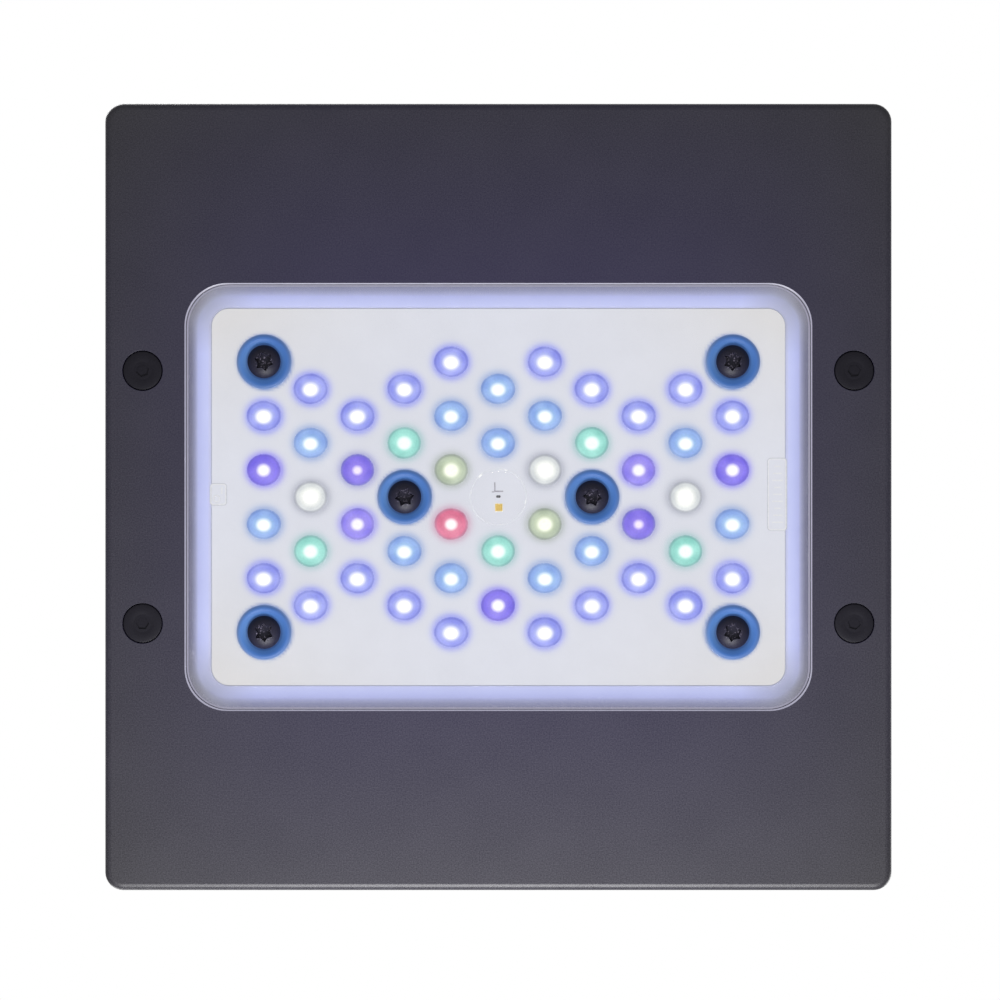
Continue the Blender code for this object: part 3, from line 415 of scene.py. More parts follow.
print("materials")
charcoal = powderCoat("charcoal powder coat", tone(35, 34, 38), glow=True)
coverCoat = powderCoat("charcoal cover coat", tone(40, 39, 44))
litEdge = edgeLight("lit window edge", (168, 166, 186), 0.85)
guardCoat = powderCoat("black guard coat", tone(30, 30, 33), grain=0.22)
blackSteel = paintedGlintDrive("black oxide steel", tone(23, 22, 37))
faceSteel = turnedMetal("blackened face screws", tone(21, 20, 26), 0.5, 0.0, gloss=0.08)
blackPlastic = moulded("black moulded plastic", tone(34, 34, 37))
rotorPlastic = moulded("rotor plastic", tone(30, 30, 33), 0.38, 0.9, 0.02)
blueRing = anodised("blue anodised ring")
aluminium = metal("extruded aluminium", tone(196, 198, 204), 0.36, (0.04, 1.0, 1.0))
brass = turnedMetal("turned brass", tone(206, 172, 104), 0.32)
plated = metal("plated steel can", tone(186, 188, 192), 0.30)
copper = metal("enamelled copper wire", tone(196, 112, 66), 0.34, (1.0, 1.0, 9.0), 0.5, 0.06)
boardGreen = moulded("green solder mask", tone(24, 84, 52), 0.34, 1.4, 0.02)
sleeveDark = moulded("dark sleeve", tone(40, 44, 66), 0.28, 2.0, 0.01)
leadRed = moulded("lead insulation", tone(120, 34, 32), 0.48, 0.6, 0.02)
siliconePad = moulded("silicone pad", tone(150, 152, 160), 0.62, 0.7, 0.02)


# lower shell with its window, counterbores and vents

shell = {
    "corner": 4.1, "faceRound": 1.5, "seamChamfer": 0.4, "lip": 174.4, "lipRise": 2.0,
    "inner": 172.4, "face": 4.0, "faceBoss": 6.2, "coverBoss": 4.5, "coverBore": 1.8,
    "window": (143.0, 97.3), "windowCorner": 9.7, "windowChamfer": 0.28, "windowDepth": 7.0,
    "bore": 4.62, "boreDepth": 2.9, "boreFlare": 0.08, "shank": 2.8,
    "slot": 3.6, "slotPitch": 8.0, "sideSlots": (13.7, 20.6), "sideReach": 6,
    "rearSlots": (13.7, 20.0), "rearStart": 10.0, "rearCount": 7, "inletHole": 4.5,
}


def makeBezelShell():
    low, high = fromBox("bezel_housing")
    side = high.x - low.x
    seam = fromBox("top_cover")[0].z - gap
    sink = fromBox("heat_sink")[0].z - gap
    lipTop = seam + shell["lipRise"]
    bm = block((side, side), low.z, seam, shell["corner"], 8, shell["faceRound"],
               shell["seamChamfer"], 5)
    bm = combine(bm, block((shell["lip"],) * 2, seam - 0.5, lipTop, 1.5, 4), "UNION")
    bm = combine(bm, block((shell["inner"],) * 2, shell["face"], lipTop + 2, 1.0, 4))
    for number in range(1, 5):
        for name, top in (("face", sink), ("cover", high.z)):
            spot = middle(f"{name}_screw_{number}").xy
            boss = rod(shell[name + "Boss"], shell["face"] - 0.5, top, 32, spot)
            bm = combine(bm, boss, "UNION")
    bm = combine(bm, bezelTools(side, sink, high.z))
    makePiece("bezelShell", bm, [charcoal, litEdge], ["bezel_housing"],
              accent=lambda face: onWindowEdge(face, shell["windowChamfer"] + 0.01))


def bezelTools(side, sink, top):
    # cutters for the window, the screws' bores, the vents and the inlet
    tools = flaredTool(shell["window"], shell["windowCorner"], 14, shell["windowChamfer"],
                       shell["windowDepth"])
    coverLow = fromBox("cover_screw_1")[0].z
    for number in range(1, 5):
        spot = (*middle(f"face_screw_{number}").xy, 0)
        pour(tools, roundTool(shell["bore"], shell["boreFlare"], shell["boreDepth"], centre=spot,
                              floor=(shell["shank"], sink + 1)))
        spot = middle(f"cover_screw_{number}").xy
        pour(tools, rod(shell["coverBore"], coverLow - 1, top + 1, 24, spot))
    for step in range(-shell["sideReach"], shell["sideReach"] + 1):
        across = step * shell["slotPitch"]
        pour(tools, slotTool(shell["sideSlots"], (side / 2, across), -quarter),
             slotTool(shell["sideSlots"], (-side / 2, across), quarter))
    for step in range(shell["rearCount"]):
        spot = (shell["rearStart"] + step * shell["slotPitch"], side / 2)
        pour(tools, slotTool(shell["rearSlots"], spot, 0.0))
    inlet = middle("dc_socket")
    hole = rotated(roundTool(shell["inletHole"], 0.4, 6), quarter, "X")
    return pour(tools, moved(hole, (inlet.x, side / 2, inlet.z)))


def onWindowEdge(face, height):
    # the chamfer round the window, and the wall behind it
    spot = face.calc_center_median()
    inside = abs(spot.x) < shell["window"][0] / 2 + 1 and abs(spot.y) < shell["window"][1] / 2 + 1
    return inside and 0.01 < spot.z < height


def flaredTool(size, corner, steps, flare, depth):
    # a cutter that points up from height 0, wider at its mouth for a chamfered edge
    past = 0.9  # how far it stands out of the surface that it cuts
    bm = block(size, flare, depth, corner, steps)
    face = min(bm.faces, key=lambda f: f.calc_center_median().z)
    raised = bmesh.ops.extrude_face_region(bm, geom=[face])["geom"]
    verts = [v for v in raised if isinstance(v, bmesh.types.BMVert)]
    bmesh.ops.delete(bm, geom=[face], context="FACES_ONLY")
    bmesh.ops.translate(bm, vec=(0, 0, -flare - past), verts=verts)
    grow = 2 * (flare + past)
    bmesh.ops.scale(bm, vec=(1 + grow / size[0], 1 + grow / size[1], 1), verts=verts)
    return bm


def slotTool(heights, spot, turn):
    # an upright slot with round ends, cut inwards through a wall that faces the turned +Y
    low, high = heights
    width = shell["slot"]
    bm = flaredTool((width, high - low), width / 2 - 0.02, 6, 0.3, 6)
    return moved(rotated(rotated(bm, quarter, "X"), turn), (*spot, (low + high) / 2))


def roundTool(radius, flare, depth, steps=48, centre=(0.0, 0.0, 0.0), floor=None):
    # a round cutter from height 0 upwards, its mouth flared; floor adds a narrower bore
    profile = [(0, -1), (radius + flare + 1, -1), (radius, flare), (radius, depth)]
    if floor:
        profile += [(floor[0], depth), (floor[0], floor[1])]
    profile.append((0, profile[-1][1]))
    return lathe(profile, steps, centre=centre)


print("lower shell")
makeBezelShell()


# upper shell, with hanger pads, intake and control holes

cover = {
    "corner": 4.1, "seamChamfer": 0.4, "topRound": 2.5, "wall": 2.5, "roof": 3.0,
    "pad": (16.0, 50.0), "padCorner": 3.0, "recess": 96.6, "recessCorner": 6.3, "intake": 44.5,
    "insert": 3.1, "insertDepth": 6.6, "buttonHole": 5.3, "lightHole": 1.8, "holeDepth": 6.0,
}
flushScrews = {"cover_screw": (2.9, 1.5), "fan_screw": (3.8, 2.0)}  # head and shank radii


def flipTo(bm, top, spot=Vector()):
    # turns an upward cutter over, to cut down from the height top
    return moved(rotated(bm, math.pi, "X"), (spot.x, spot.y, top))


def counterTool(name, number, top):
    # a countersunk hole for a screw whose head is flush with the top
    rim, bore = [radius + gap for radius in flushScrews[name]]
    edge = top - 0.4
    profile = [(0, top + 3), (rim, top + 3), (rim, edge), (bore, edge - rim + bore),
               (bore, top - 9), (0, top - 9)]
    return lathe(profile, 36, centre=(*middle(f"{name}_{number}").xy, 0))


def makeCoverShell():
    low, high = fromBox("top_cover")
    grille = fromBox("fan_grille")
    side, roof = high.x - low.x, grille[1].z
    bm = block((side, side), low.z, roof, cover["corner"], 8, cover["seamChamfer"],
               cover["topRound"], 6)
    for sign in (-1, 1):
        insert = middle("hanger_insert_2").x * sign
        pad = block(cover["pad"], roof - 1, high.z, cover["padCorner"], 8, 0, 0.25, 2, (insert, 0))
        bm = combine(bm, pad, "UNION")
    inner = side - 2 * cover["wall"]
    bm = combine(bm, block((inner, inner), low.z - 4, roof - cover["roof"], 1.8, 4))
    recess = flaredTool((cover["recess"],) * 2, cover["recessCorner"], 8, 0.2,
                        roof - grille[0].z + gap)
    bm = combine(bm, flipTo(recess, roof))
    tools = rod(cover["intake"], roof - 8, roof + 3, 96)
    pour(tools, flipTo(roundTool(cover["buttonHole"], 0.25, cover["holeDepth"]), roof,
                       middle("mode_button")),
         flipTo(roundTool(cover["lightHole"], 0.15, cover["holeDepth"], 24), roof,
                middle("status_light")))
    for number in range(1, 5):
        insert = roundTool(cover["insert"], 0.2, cover["insertDepth"], 32)
        pour(tools, counterTool("cover_screw", number, roof),
             counterTool("fan_screw", number, roof),
             flipTo(insert, high.z, middle(f"hanger_insert_{number}")))
    bm = combine(bm, tools)
    makePiece("coverShell", bm, coverCoat, ["top_cover"])


print("upper shell")
makeCoverShell()


# honeycomb guard over the fan

guard = {"corner": 6.0, "pitch": 10.4, "cell": 5.2, "reach": 44.0, "flare": 0.2, "rows": 5}


def makeGuard():
    low, high = fromBox("fan_grille")
    bm = block((high.x - low.x,) * 2, low.z, high.z, guard["corner"], 8, 0, 0.25, 2)
    tools = bmesh.new()
    rows = range(-guard["rows"], guard["rows"] + 1)
    for row in rows:
        for column in rows:
            x = (column + (row % 2) / 2) * guard["pitch"]
            y = row * guard["pitch"] * math.sin(math.radians(60))
            if math.hypot(x, y) + guard["cell"] < guard["reach"]:
                pour(tools, cellTool(low.z, high.z, (x, y, 0)))
    for number in range(1, 5):
        pour(tools, counterTool("fan_screw", number, high.z))
    bm = combine(bm, tools)
    makePiece("fanGuard", bm, guardCoat, ["fan_grille"])


def cellTool(low, high, centre):
    # a six-sided cutter with both mouths flared
    cell, flare, past = guard["cell"], guard["flare"], 0.3
    profile = [(0, low - past), (cell + flare + past, low - past), (cell, low + flare),
               (cell, high - flare), (cell + flare + past, high + past), (0, high + past)]
    return moved(rotated(lathe(profile, 6), quarter / 3), centre)


print("fan guard")
makeGuard()


# fan rotor: a cup on its shaft and nine swept blades

rotor = {"hub": 17.0, "wall": 2.4, "tip": 41.2, "blades": 9, "thick": 1.1, "sweep": 14.0,
         "pitch": (50.0, 30.0), "chord": (13.6, 20.4)}


def makeRotor():
    low, high = fromBox("fan_rotor")
    top, skirt, hub = high.z, low.z + 0.9, rotor["hub"]
    inside = hub - rotor["wall"]
    profile = [(0, top - 0.25), (9.2, top - 0.25), (9.5, top - 0.05), (9.8, top), (hub - 1.6, top),
               (hub - 0.75, top - 0.22), (hub - 0.2, top - 0.8), (hub, top - 1.5), (hub, skirt),
               (inside, skirt), (inside, top - 2.3), (1.5, top - 2.3), (1.5, low.z), (0, low.z)]
    bm = lathe(profile, 72)
    for number in range(rotor["blades"]):
        pour(bm, bladeShape(math.tau * number / rotor["blades"], (low.z + high.z) / 2 + 0.4))
    makePiece("fanRotor", bm, rotorPlastic, ["fan_rotor"], "fan", sharp=40)


def bladeShape(turn, height):
    # a grid bent to a twisted, swept blade, then given its thickness
    bm = bmesh.new()
    bmesh.ops.create_grid(bm, x_segments=10, y_segments=8, size=0.5)
    root = rotor["hub"] - 0.6
    for vert in bm.verts:
        along, across = vert.co.x + 0.5, vert.co.y
        radius = root + along * (rotor["tip"] - root)
        pitch = math.radians(rotor["pitch"][0] + along * (rotor["pitch"][1] - rotor["pitch"][0]))
        chord = rotor["chord"][0] + along * (rotor["chord"][1] - rotor["chord"][0])
        reach = chord * across
        camber = 0.9 * (1 - 4 * across * across)
        swing = turn + math.radians(rotor["sweep"]) * along
        rise = reach * math.sin(pitch) + camber * math.cos(pitch)
        side = reach * math.cos(pitch) - camber * math.sin(pitch)
        angle = swing + side / radius
        vert.co = (radius * math.cos(angle), radius * math.sin(angle), height + rise)
    bmesh.ops.recalc_face_normals(bm, faces=bm.faces)
    bmesh.ops.solidify(bm, geom=bm.faces[:], thickness=rotor["thick"])
    return bm


print("fan rotor")
makeRotor()


# screws, washers, inserts

screws = {
    "lensHead": 3.8, "lensShank": 2.0, "lobe": (2.5, 1.6), "driveTaper": 0.78, "lensTurn": 17,
    "faceHead": 4.5, "faceShank": 2.5, "hex": 1.5, "faceTurn": 11, "washer": 6.3, "seat": 2.3,
}


def sixLobe(outer, inner, low, high):
    # a twelve-sided rod whose every second corner is pulled in, with the corners rounded
    bm = rod(outer, low, high, 12)
    for vert in bm.verts:
        angle = math.atan2(vert.co.y, vert.co.x)
        if round(angle / math.radians(30)) % 2:
            vert.co.x *= inner / outer
            vert.co.y *= inner / outer
    softenEdges(bm, uprightEdges(bm), 0.14, 2)
    return bm


def leaning(bm, height, shrink):
    # pulls in the end of a drive at this height
    ends = [vert for vert in bm.verts if abs(vert.co.z - height) < 1e-4]
    bmesh.ops.scale(bm, vec=(shrink, shrink, 1), verts=ends)
    return bm


def makeRound(node, bm, material, body="lamp"):
    # sets a turned shape on its node's axis and names the piece after the node
    radialUV(bm)
    first, *others = node.split("_")
    name = first + "".join(word.title() for word in others)
    makePiece(name, moved(bm, (*middle(node).xy, 0)), material, [node], body)


def makeLensScrew(number):
    node = f"lens_screw_{number}"
    low, high = fromBox(node)
    head, shank, base = screws["lensHead"], screws["lensShank"], low.z + 2.2
    profile = [(0, low.z), (0.9, low.z + 0.02), (1.7, low.z + 0.16), (2.5, low.z + 0.5),
               (3.2, low.z + 1.05), (3.6, low.z + 1.55), (head, low.z + 1.95), (head - 0.1, base),
               (shank, base), (shank, high.z - 0.3), (shank - 0.3, high.z), (0, high.z)]
    floor = low.z + 1.7
    drive = sixLobe(*screws["lobe"], low.z - 0.6, floor)
    bm = combine(lathe(profile, 40), leaning(drive, floor, screws["driveTaper"]))
    rotated(bm, math.radians(screws["lensTurn"] * number))
    makeRound(node, bm, blackSteel)


def makeFaceScrew(number):
    node = f"face_screw_{number}"
    low, high = fromBox(node)
    head, shank = screws["faceHead"], screws["faceShank"]
    profile = [(0, low.z + 0.05), (1.9, low.z + 0.04), (2.1, low.z + 0.06), (2.3, low.z),
               (head - 0.45, low.z), (head - 0.15, low.z + 0.12), (head, low.z + 0.45),
               (head, low.z + 2.5), (shank, low.z + 2.5), (shank, high.z), (0, high.z)]
    turn = math.radians(screws["faceTurn"] * number)
    socket = rod(screws["hex"], low.z - 2, low.z + 0.3, 6, turn=turn)
    bm = combine(lathe(profile, 48), socket)
    makeRound(node, bm, faceSteel)


def makeFlushScrew(name, number):
    head, shank = flushScrews[name]
    node = f"{name}_{number}"
    low, high = fromBox(node)
    top = high.z
    profile = [(0, top), (head - 0.12, top), (head, top - 0.1), (head, top - 0.3),
               (shank, top - 0.3 - head + shank), (shank, low.z), (0, low.z)]
    tool = sixLobe(head * 0.5, head * 0.37, top - 1.1, top + 2)
    bm = combine(lathe(profile, 36), rotated(tool, 0.3 * number))
    makeRound(node, bm, blackSteel)


def makeWasher(number):
    # a cup: its rolled rim slopes in to the seat under the screw's head
    node = f"lens_washer_{number}"
    low, high = fromBox(node)
    rim, seat, top = screws["washer"], screws["seat"], low.z
    profile = [(seat, high.z), (rim - 0.15, high.z), (rim, high.z - 0.15), (rim, top + 0.9),
               (rim - 0.06, top + 0.6), (rim - 0.22, top + 0.32), (rim - 0.46, top + 0.1),
               (rim - 0.75, top), (rim - 1.05, top + 0.06), (5.0, top + 0.2), (4.7, top + 0.42),
               (4.4, top + 0.74), (4.15, top + 1.1), (3.95, top + 1.3), (seat, top + 1.3)]
    makeRound(node, lathe(profile, 56, closed=True), blueRing)


def makeInsert(number):
    node = f"hanger_insert_{number}"
    low, high = fromBox(node)
    outer, bore, pitch = 2.8, 1.65, 0.7
    profile = [(outer - 0.15, high.z), (outer, high.z - 0.15), (outer, low.z), (bore, low.z)]
    turns = int((high.z - low.z - 0.5) / pitch)
    for turn in range(turns):
        base = low.z + 0.3 + turn * pitch
        profile += [(bore, base + 0.1), (bore + 0.32, base + pitch / 2)]
    profile += [(bore, high.z - 0.35), (bore + 0.3, high.z)]
    makeRound(node, lathe(profile, 32, closed=True), brass)


print("fasteners")
for number in range(1, 7):
    makeLensScrew(number)
    makeWasher(number)
for number in range(1, 5):
    makeFaceScrew(number)
    for name in flushScrews:
        makeFlushScrew(name, number)
    makeInsert(number)


# the emitters: where each kind sits on the triangular grid, and its colours

grid = (10.739, 6.2)
mirrored = [(sx, sy) for sx in (-1, 1) for sy in (-1, 1)]
emitters = {
    "royal": {
        "sites": [(sx * a, sy * b) for a, b in ((5, 3), (4, 4), (3, 3), (2, 4), (1, 5))
                  for sx, sy in mirrored],
        "core": (262, 262, 266), "inner": (181, 189, 244), "body": (164, 171, 245),
        "rim": (151, 157, 232), "haze": (171, 176, 239), "coreSize": 1.65},
    "blue": {
        "sites": [(-5, 1), (5, 1), (-4, -2), (4, -2), (-2, 2), (2, 2), (0, -4), (0, -2)]
                 + [(sx, 3 * sy) for sx, sy in mirrored],
        "core": (256, 264, 266), "inner": (166, 200, 241), "body": (155, 186, 240),
        "rim": (148, 174, 226), "haze": (174, 189, 222), "coreSize": 1.5},
    "violet": {
        "sites": [(-5, -1), (5, -1), (0, 4)],
        "core": (258, 254, 264), "inner": (150, 137, 238), "body": (139, 124, 239),
        "rim": (138, 126, 228), "haze": (167, 162, 239), "coreSize": 1.35},
    "lilac": {
        "sites": [(-3, 1), (3, -1)],
        "core": (254, 250, 262), "inner": (166, 153, 240), "body": (157, 144, 244),
        "rim": (154, 145, 230), "haze": (177, 174, 238), "coreSize": 1.3},
    "uv": {
        "sites": [(-3, -1), (3, 1)],
        "core": (248, 236, 262), "inner": (149, 130, 237), "body": (138, 121, 234),
        "rim": (140, 134, 220), "haze": (178, 179, 218), "coreSize": 0.95},
    "green": {
        "sites": [(-4, 2), (4, 2), (-2, -2), (2, -2), (0, 2)],
        "core": (250, 264, 260), "inner": (172, 236, 224), "body": (162, 227, 216),
        "rim": (154, 203, 199), "haze": (182, 207, 211), "coreSize": 1.5},
    "coolWhite": {
        "sites": [(-4, 0), (4, 0), (1, -1)],
        "core": (260, 261, 257), "inner": (242, 245, 241), "body": (227, 231, 231),
        "rim": (192, 195, 203), "haze": (188, 191, 202), "coreSize": 1.85},
    "lime": {
        "sites": [(-1, -1), (1, 1)],
        "core": (260, 264, 246), "inner": (206, 218, 190), "body": (190, 203, 180),
        "rim": (174, 184, 172), "haze": (190, 196, 196), "coreSize": 1.6},
    "red": {
        "sites": [(-1, 1)],
        "core": (264, 254, 258), "inner": (233, 140, 167), "body": (230, 130, 161),
        "rim": (212, 142, 170), "haze": (210, 182, 200), "coreSize": 1.25},
}
dome = {
    "radius": 3.72, "height": 1.8, "glow": 1.04, "lean": 0.08,
    "wide": (1.08, 0.96), "widePull": 0.42, "round": (1.06, 1.0), "roundPull": 0.15,
}


def emitterPaint(kind, look):
    paint = Paint(kind + " emitter")
    radius = paint.polar()[0]
    sparkle = paint.noise(0.45, 2.0)
    core = look["coreSize"]
    rings = [(0.0, "core", 1.0), (core - 0.42, "core", 1.0), (core + 0.36, "inner", 1.0),
             (2.6, "body", 1.0), (3.0, "body", 0.98), (3.35, "rim", 0.92), (3.5, "rim", 0.95),
             (3.66, "haze", 0.97)]
    stops = [(place, tone(*look[key], scale)) for place, key, scale in rings]
    shade = paint.ramp(radius + (sparkle - 0.5) * 0.34, stops, 4.0)
    grain = paint.ramp(sparkle, [(0.35, (0.2, 0.2, 0.2, 1)), (0.65, (1, 1, 1, 1))])
    shade = paint.mix(0.10, shade, grain, "MULTIPLY")
    # one side of each ring is a little deeper
    uneven = paint.noise(3.0, 0.0).above(0.3, 0.4) * radius.above(1.2, 1.0)
    shade = paint.mix(uneven * 0.4, shade, tone(*look["rim"]), "MULTIPLY")
    paint.bump(sparkle, 0.02, 0.3)
    paint.glow(shade, dome["glow"])
    return paint.finish({"Base Color": (0.01, 0.01, 0.012, 1), "Roughness": 0.5 + sparkle * 0.1,
                         "Specular IOR Level": 0.12})


def makeEmitters():
    plate = fromBox("lens_plate")[0].z + dome["height"]
    for kind, look in emitters.items():
        bm = bmesh.new()
        outline = "wide" if kind in ("royal", "blue") else "round"
        for column, row in look["sites"]:
            one = domeShape(plate)
            radialUV(one, dome[outline + "Pull"], 3.7)
            bmesh.ops.scale(one, vec=(*dome[outline], 1), verts=one.verts)
            pour(bm, moved(one, (column * grid[0] - dome["lean"], row * grid[1], 0)))
        makePiece(kind + "Emitters", bm, emitterPaint(kind, look), sharp=60)


def domeShape(plate):
    # a shallow cap with a small foot, opening out from the plate
    radius, height = dome["radius"], dome["height"]
    profile = [(0, plate - height)]
    for step in range(1, 10):
        angle = quarter * step / 9
        profile.append((radius * math.sin(angle), plate - height * math.cos(angle)))
    profile += [(radius, plate + 0.05), (0, plate + 0.05)]
    return lathe(profile, 32)


print("emitters")
makeEmitters()


# white board behind the lens, with a painted glow for the emitters' light, tinted round each
# emitter and each washer, and less blue in the corners

board = {
    "thick": 1.6, "corner": 4.0, "rim": 0.25, "spacing": 0.62, "spread": 0.78,
    "middle": (219, 221, 229), "corners": (219, 218, 218), "washerTint": (128, 150, 200),
}


def makeBoard():
    high = fromBox("led_board")[1]
    face = high.z - board["thick"]
    bm = bmesh.new()
    bmesh.ops.create_grid(bm, x_segments=round(2 * high.x / board["spacing"]),
                          y_segments=round(2 * high.y / board["spacing"]), size=1)
    layer = bm.verts.layers.float_color.new("glow")
    spots = glowSpots()
    for vert in bm.verts:
        x, y = roundCorner(vert.co.x * high.x, vert.co.y * high.y, high.x, high.y)
        vert.co = (x, y, face)
        vert[layer] = boardGlow(x / high.x, y / high.y, x, y, spots)
    rim = [edge for edge in bm.edges if edge.is_boundary]
    for step in (board["rim"], board["thick"] - board["rim"]):
        raised = bmesh.ops.extrude_edge_only(bm, edges=rim)["geom"]
        verts = [v for v in raised if isinstance(v, bmesh.types.BMVert)]
        rim = [e for e in raised if isinstance(e, bmesh.types.BMEdge)]
        bmesh.ops.translate(bm, vec=(0, 0, step), verts=verts)
    bmesh.ops.contextual_create(bm, geom=rim)
    makePiece("ledBoard", bm, boardPaint(), ["led_board"])


def roundCorner(x, y, halfX, halfY):
    # squeezes the square corner of a grid into a quarter disc
    corner = board["corner"]
    u, v = (abs(x) - halfX + corner) / corner, (abs(y) - halfY + corner) / corner
    if u <= 0 or v <= 0:
        return x, y
    newU, newV = u * math.sqrt(1 - v * v / 2), v * math.sqrt(1 - u * u / 2)
    return (math.copysign(halfX - corner + newU * corner, x),
            math.copysign(halfY - corner + newV * corner, y))


def glowSpots():
    # what tints the board: place, radius, how much wider along X, how far it spreads, colour
    spots = [(column * grid[0] - dome["lean"], row * grid[1], dome["radius"], dome["wide"][0],
              board["spread"], tone(*look["haze"]))
             for look in emitters.values() for column, row in look["sites"]]
    for number in range(1, 7):
        spots.append((*middle(f"lens_washer_{number}").xy, screws["washer"] - 0.1, 1.0,
                      board["spread"] / 2, tone(*board["washerTint"])))
    return spots


def boardGlow(u, v, x, y, spots):
    blend = min(1.0, (u * u * v * v) * 1.3)
    color = [a + (b - a) * blend for a, b in zip(tone(*board["middle"]), tone(*board["corners"]))]
    for cx, cy, edge, wide, spread, tint in spots:
        away = max(0.0, math.hypot((x - cx) / wide, y - cy) - edge)
        if away < 4:
            amount = math.exp(-(away / spread) ** 1.5)
            color = [c + (t - c) * amount for c, t in zip(color, tint)]
    return (*color[:3], 1.0)


def boardPaint():
    paint = Paint("white board")
    glow = paint.add("VertexColor", {"layer_name": "glow"})
    fine = paint.noise(0.5, 3.0)
    broad = paint.noise(22.0, 1.0)
    shade = paint.mix(0.05, glow, paint.vary((0.8, 0.8, 0.8), 0.25, fine * 0.5 + broad * 0.5),
                      "MULTIPLY")
    paint.bump(fine, 0.01, 0.4)
    paint.glow(shade, 1.02)
    return paint.finish({"Base Color": tone(34, 34, 36), "Roughness": 0.6,
                         "Specular IOR Level": 0.1})


print("board")
makeBoard()


# pale seal between the board and the window's edge, lit from the side by the board

seal = {"corner": 9.4, "boardGap": 0.5}


def makeSeal():
    low, high = fromBox("lens_gasket")
    edge = fromBox("led_board")[1]
    bm = block((high.x - low.x, high.y - low.y), low.z + 0.7, high.z, seal["corner"], 14)
    inside = [2 * side + seal["boardGap"] for side in edge.xy]
    corner = board["corner"] + seal["boardGap"] / 2
    bm = combine(bm, block(inside, low.z - 3, high.z + 3, corner, 10))
    makePiece("lensSeal", bm, sealPaint(high.x, high.y), ["lens_gasket"])


def sealPaint(halfX, halfY):
    # distance in from the outer edge, worked out for a rounded rectangle
    paint = Paint("translucent seal")
    x, y = paint.parts(paint.where())[:2]
    corner = seal["corner"]
    outX, outY = abs(x) - (halfX - corner), abs(y) - (halfY - corner)
    pastX, pastY = paint.calc("MAXIMUM", outX, 0.0), paint.calc("MAXIMUM", outY, 0.0)
    inner = paint.calc("MINIMUM", paint.calc("MAXIMUM", outX, outY), 0.0)
    depth = corner - (pastX ** 2 + pastY ** 2) ** 0.5 - inner
    fine = paint.noise(0.7, 2.0)
    # painted shade, darkest at the outer edge under the window's rim, giving way inwards to the
    # painted glow of the board's light
    shade = paint.ramp(depth + (fine - 0.5) * 0.2, [
        (0.0, tone(132, 133, 160)), (0.9, tone(141, 144, 176)), (1.6, tone(159, 163, 200)),
        (2.3, tone(178, 184, 232)), (3.4, tone(189, 196, 241)), (4.5, tone(196, 202, 244)),
        (5.0, tone(191, 195, 228)), (5.4, tone(198, 200, 224))], 6.0)
    # painted shade: the side strips start darker, and the corners are greyer, with less of the
    # painted glow
    sides = (outX - outY).above(-2.0, 4.0) * (1 - depth.above(0.7, 1.4))
    shade = paint.mix(sides * 0.5, shade, tone(66, 62, 80))
    grey = outX.above(-6.0, 11.0) * outY.above(-6.0, 11.0)
    shade = paint.mix(grey, shade, paint.mix(0.6, shade, tone(146, 146, 152)))
    paint.bump(fine, 0.02, 0.4)
    paint.glow(shade, 0.925)
    return paint.finish({"Base Color": tone(60, 60, 66), "Roughness": 0.5})


print("seal")
makeSeal()


# clear lens plate, its bright edge, and the raised ring over the sensors

lens = {
    "size": (142.94, 97.24), "corner": 9.67, "chamfer": 0.4, "thick": 2.0, "hole": 2.3,
    "ring": 6.5, "markDepth": 0.24, "padLeft": ((-64.2, -0.6), (4.0, 5.2)),
    "padRight": ((63.9, -0.6), (4.6, 16.8)),
}


def makeLensPlate():
    top = fromBox("lens_plate")[1].z
    face = top - lens["thick"]
    bm = block(lens["size"], face, top, lens["corner"], 14, lens["chamfer"], 0, 1)
    holes = bmesh.new()
    for number in range(1, 7):
        spot = middle(f"lens_screw_{number}").xy
        pour(holes, rod(lens["hole"], face - 3, top + 3, 24, spot))
    bm = combine(bm, holes)
    disc = lathe([(0, face - 0.85), (5.6, face - 0.85), (5.9, face - 1.0), (6.2, face - 0.95),
                  (lens["ring"], face - 0.6), (lens["ring"], face + 0.4), (0, face + 0.4)], 64)
    bm = combine(bm, disc, "UNION")
    reach = [side / 2 - lens["chamfer"] - 0.05 for side in lens["size"]]
    corner = Vector(reach) - Vector((lens["corner"], lens["corner"]))

    def onRim(face):
        spot = face.calc_center_median()
        away = Vector((max(abs(spot.x) - corner.x, 0), max(abs(spot.y) - corner.y, 0))).length
        return abs(face.normal.z) < 0.95 and away > lens["corner"] - lens["chamfer"]

    makePiece("lensPlate", bm, [clearPaint(), litEdge], ["lens_plate"], accent=onRim)


def clearPaint():
    paint = Paint("clear lens")
    fine = paint.noise(9.0, 1.0)
    paint.bump(fine, 0.02, 0.3)
    return paint.finish({"Base Color": paint.vary((0.97, 0.97, 0.985), 0.01, fine),
                         "Roughness": 0.03 + fine * 0.03, "Transmission Weight": 1.0,
                         "IOR": 1.2})


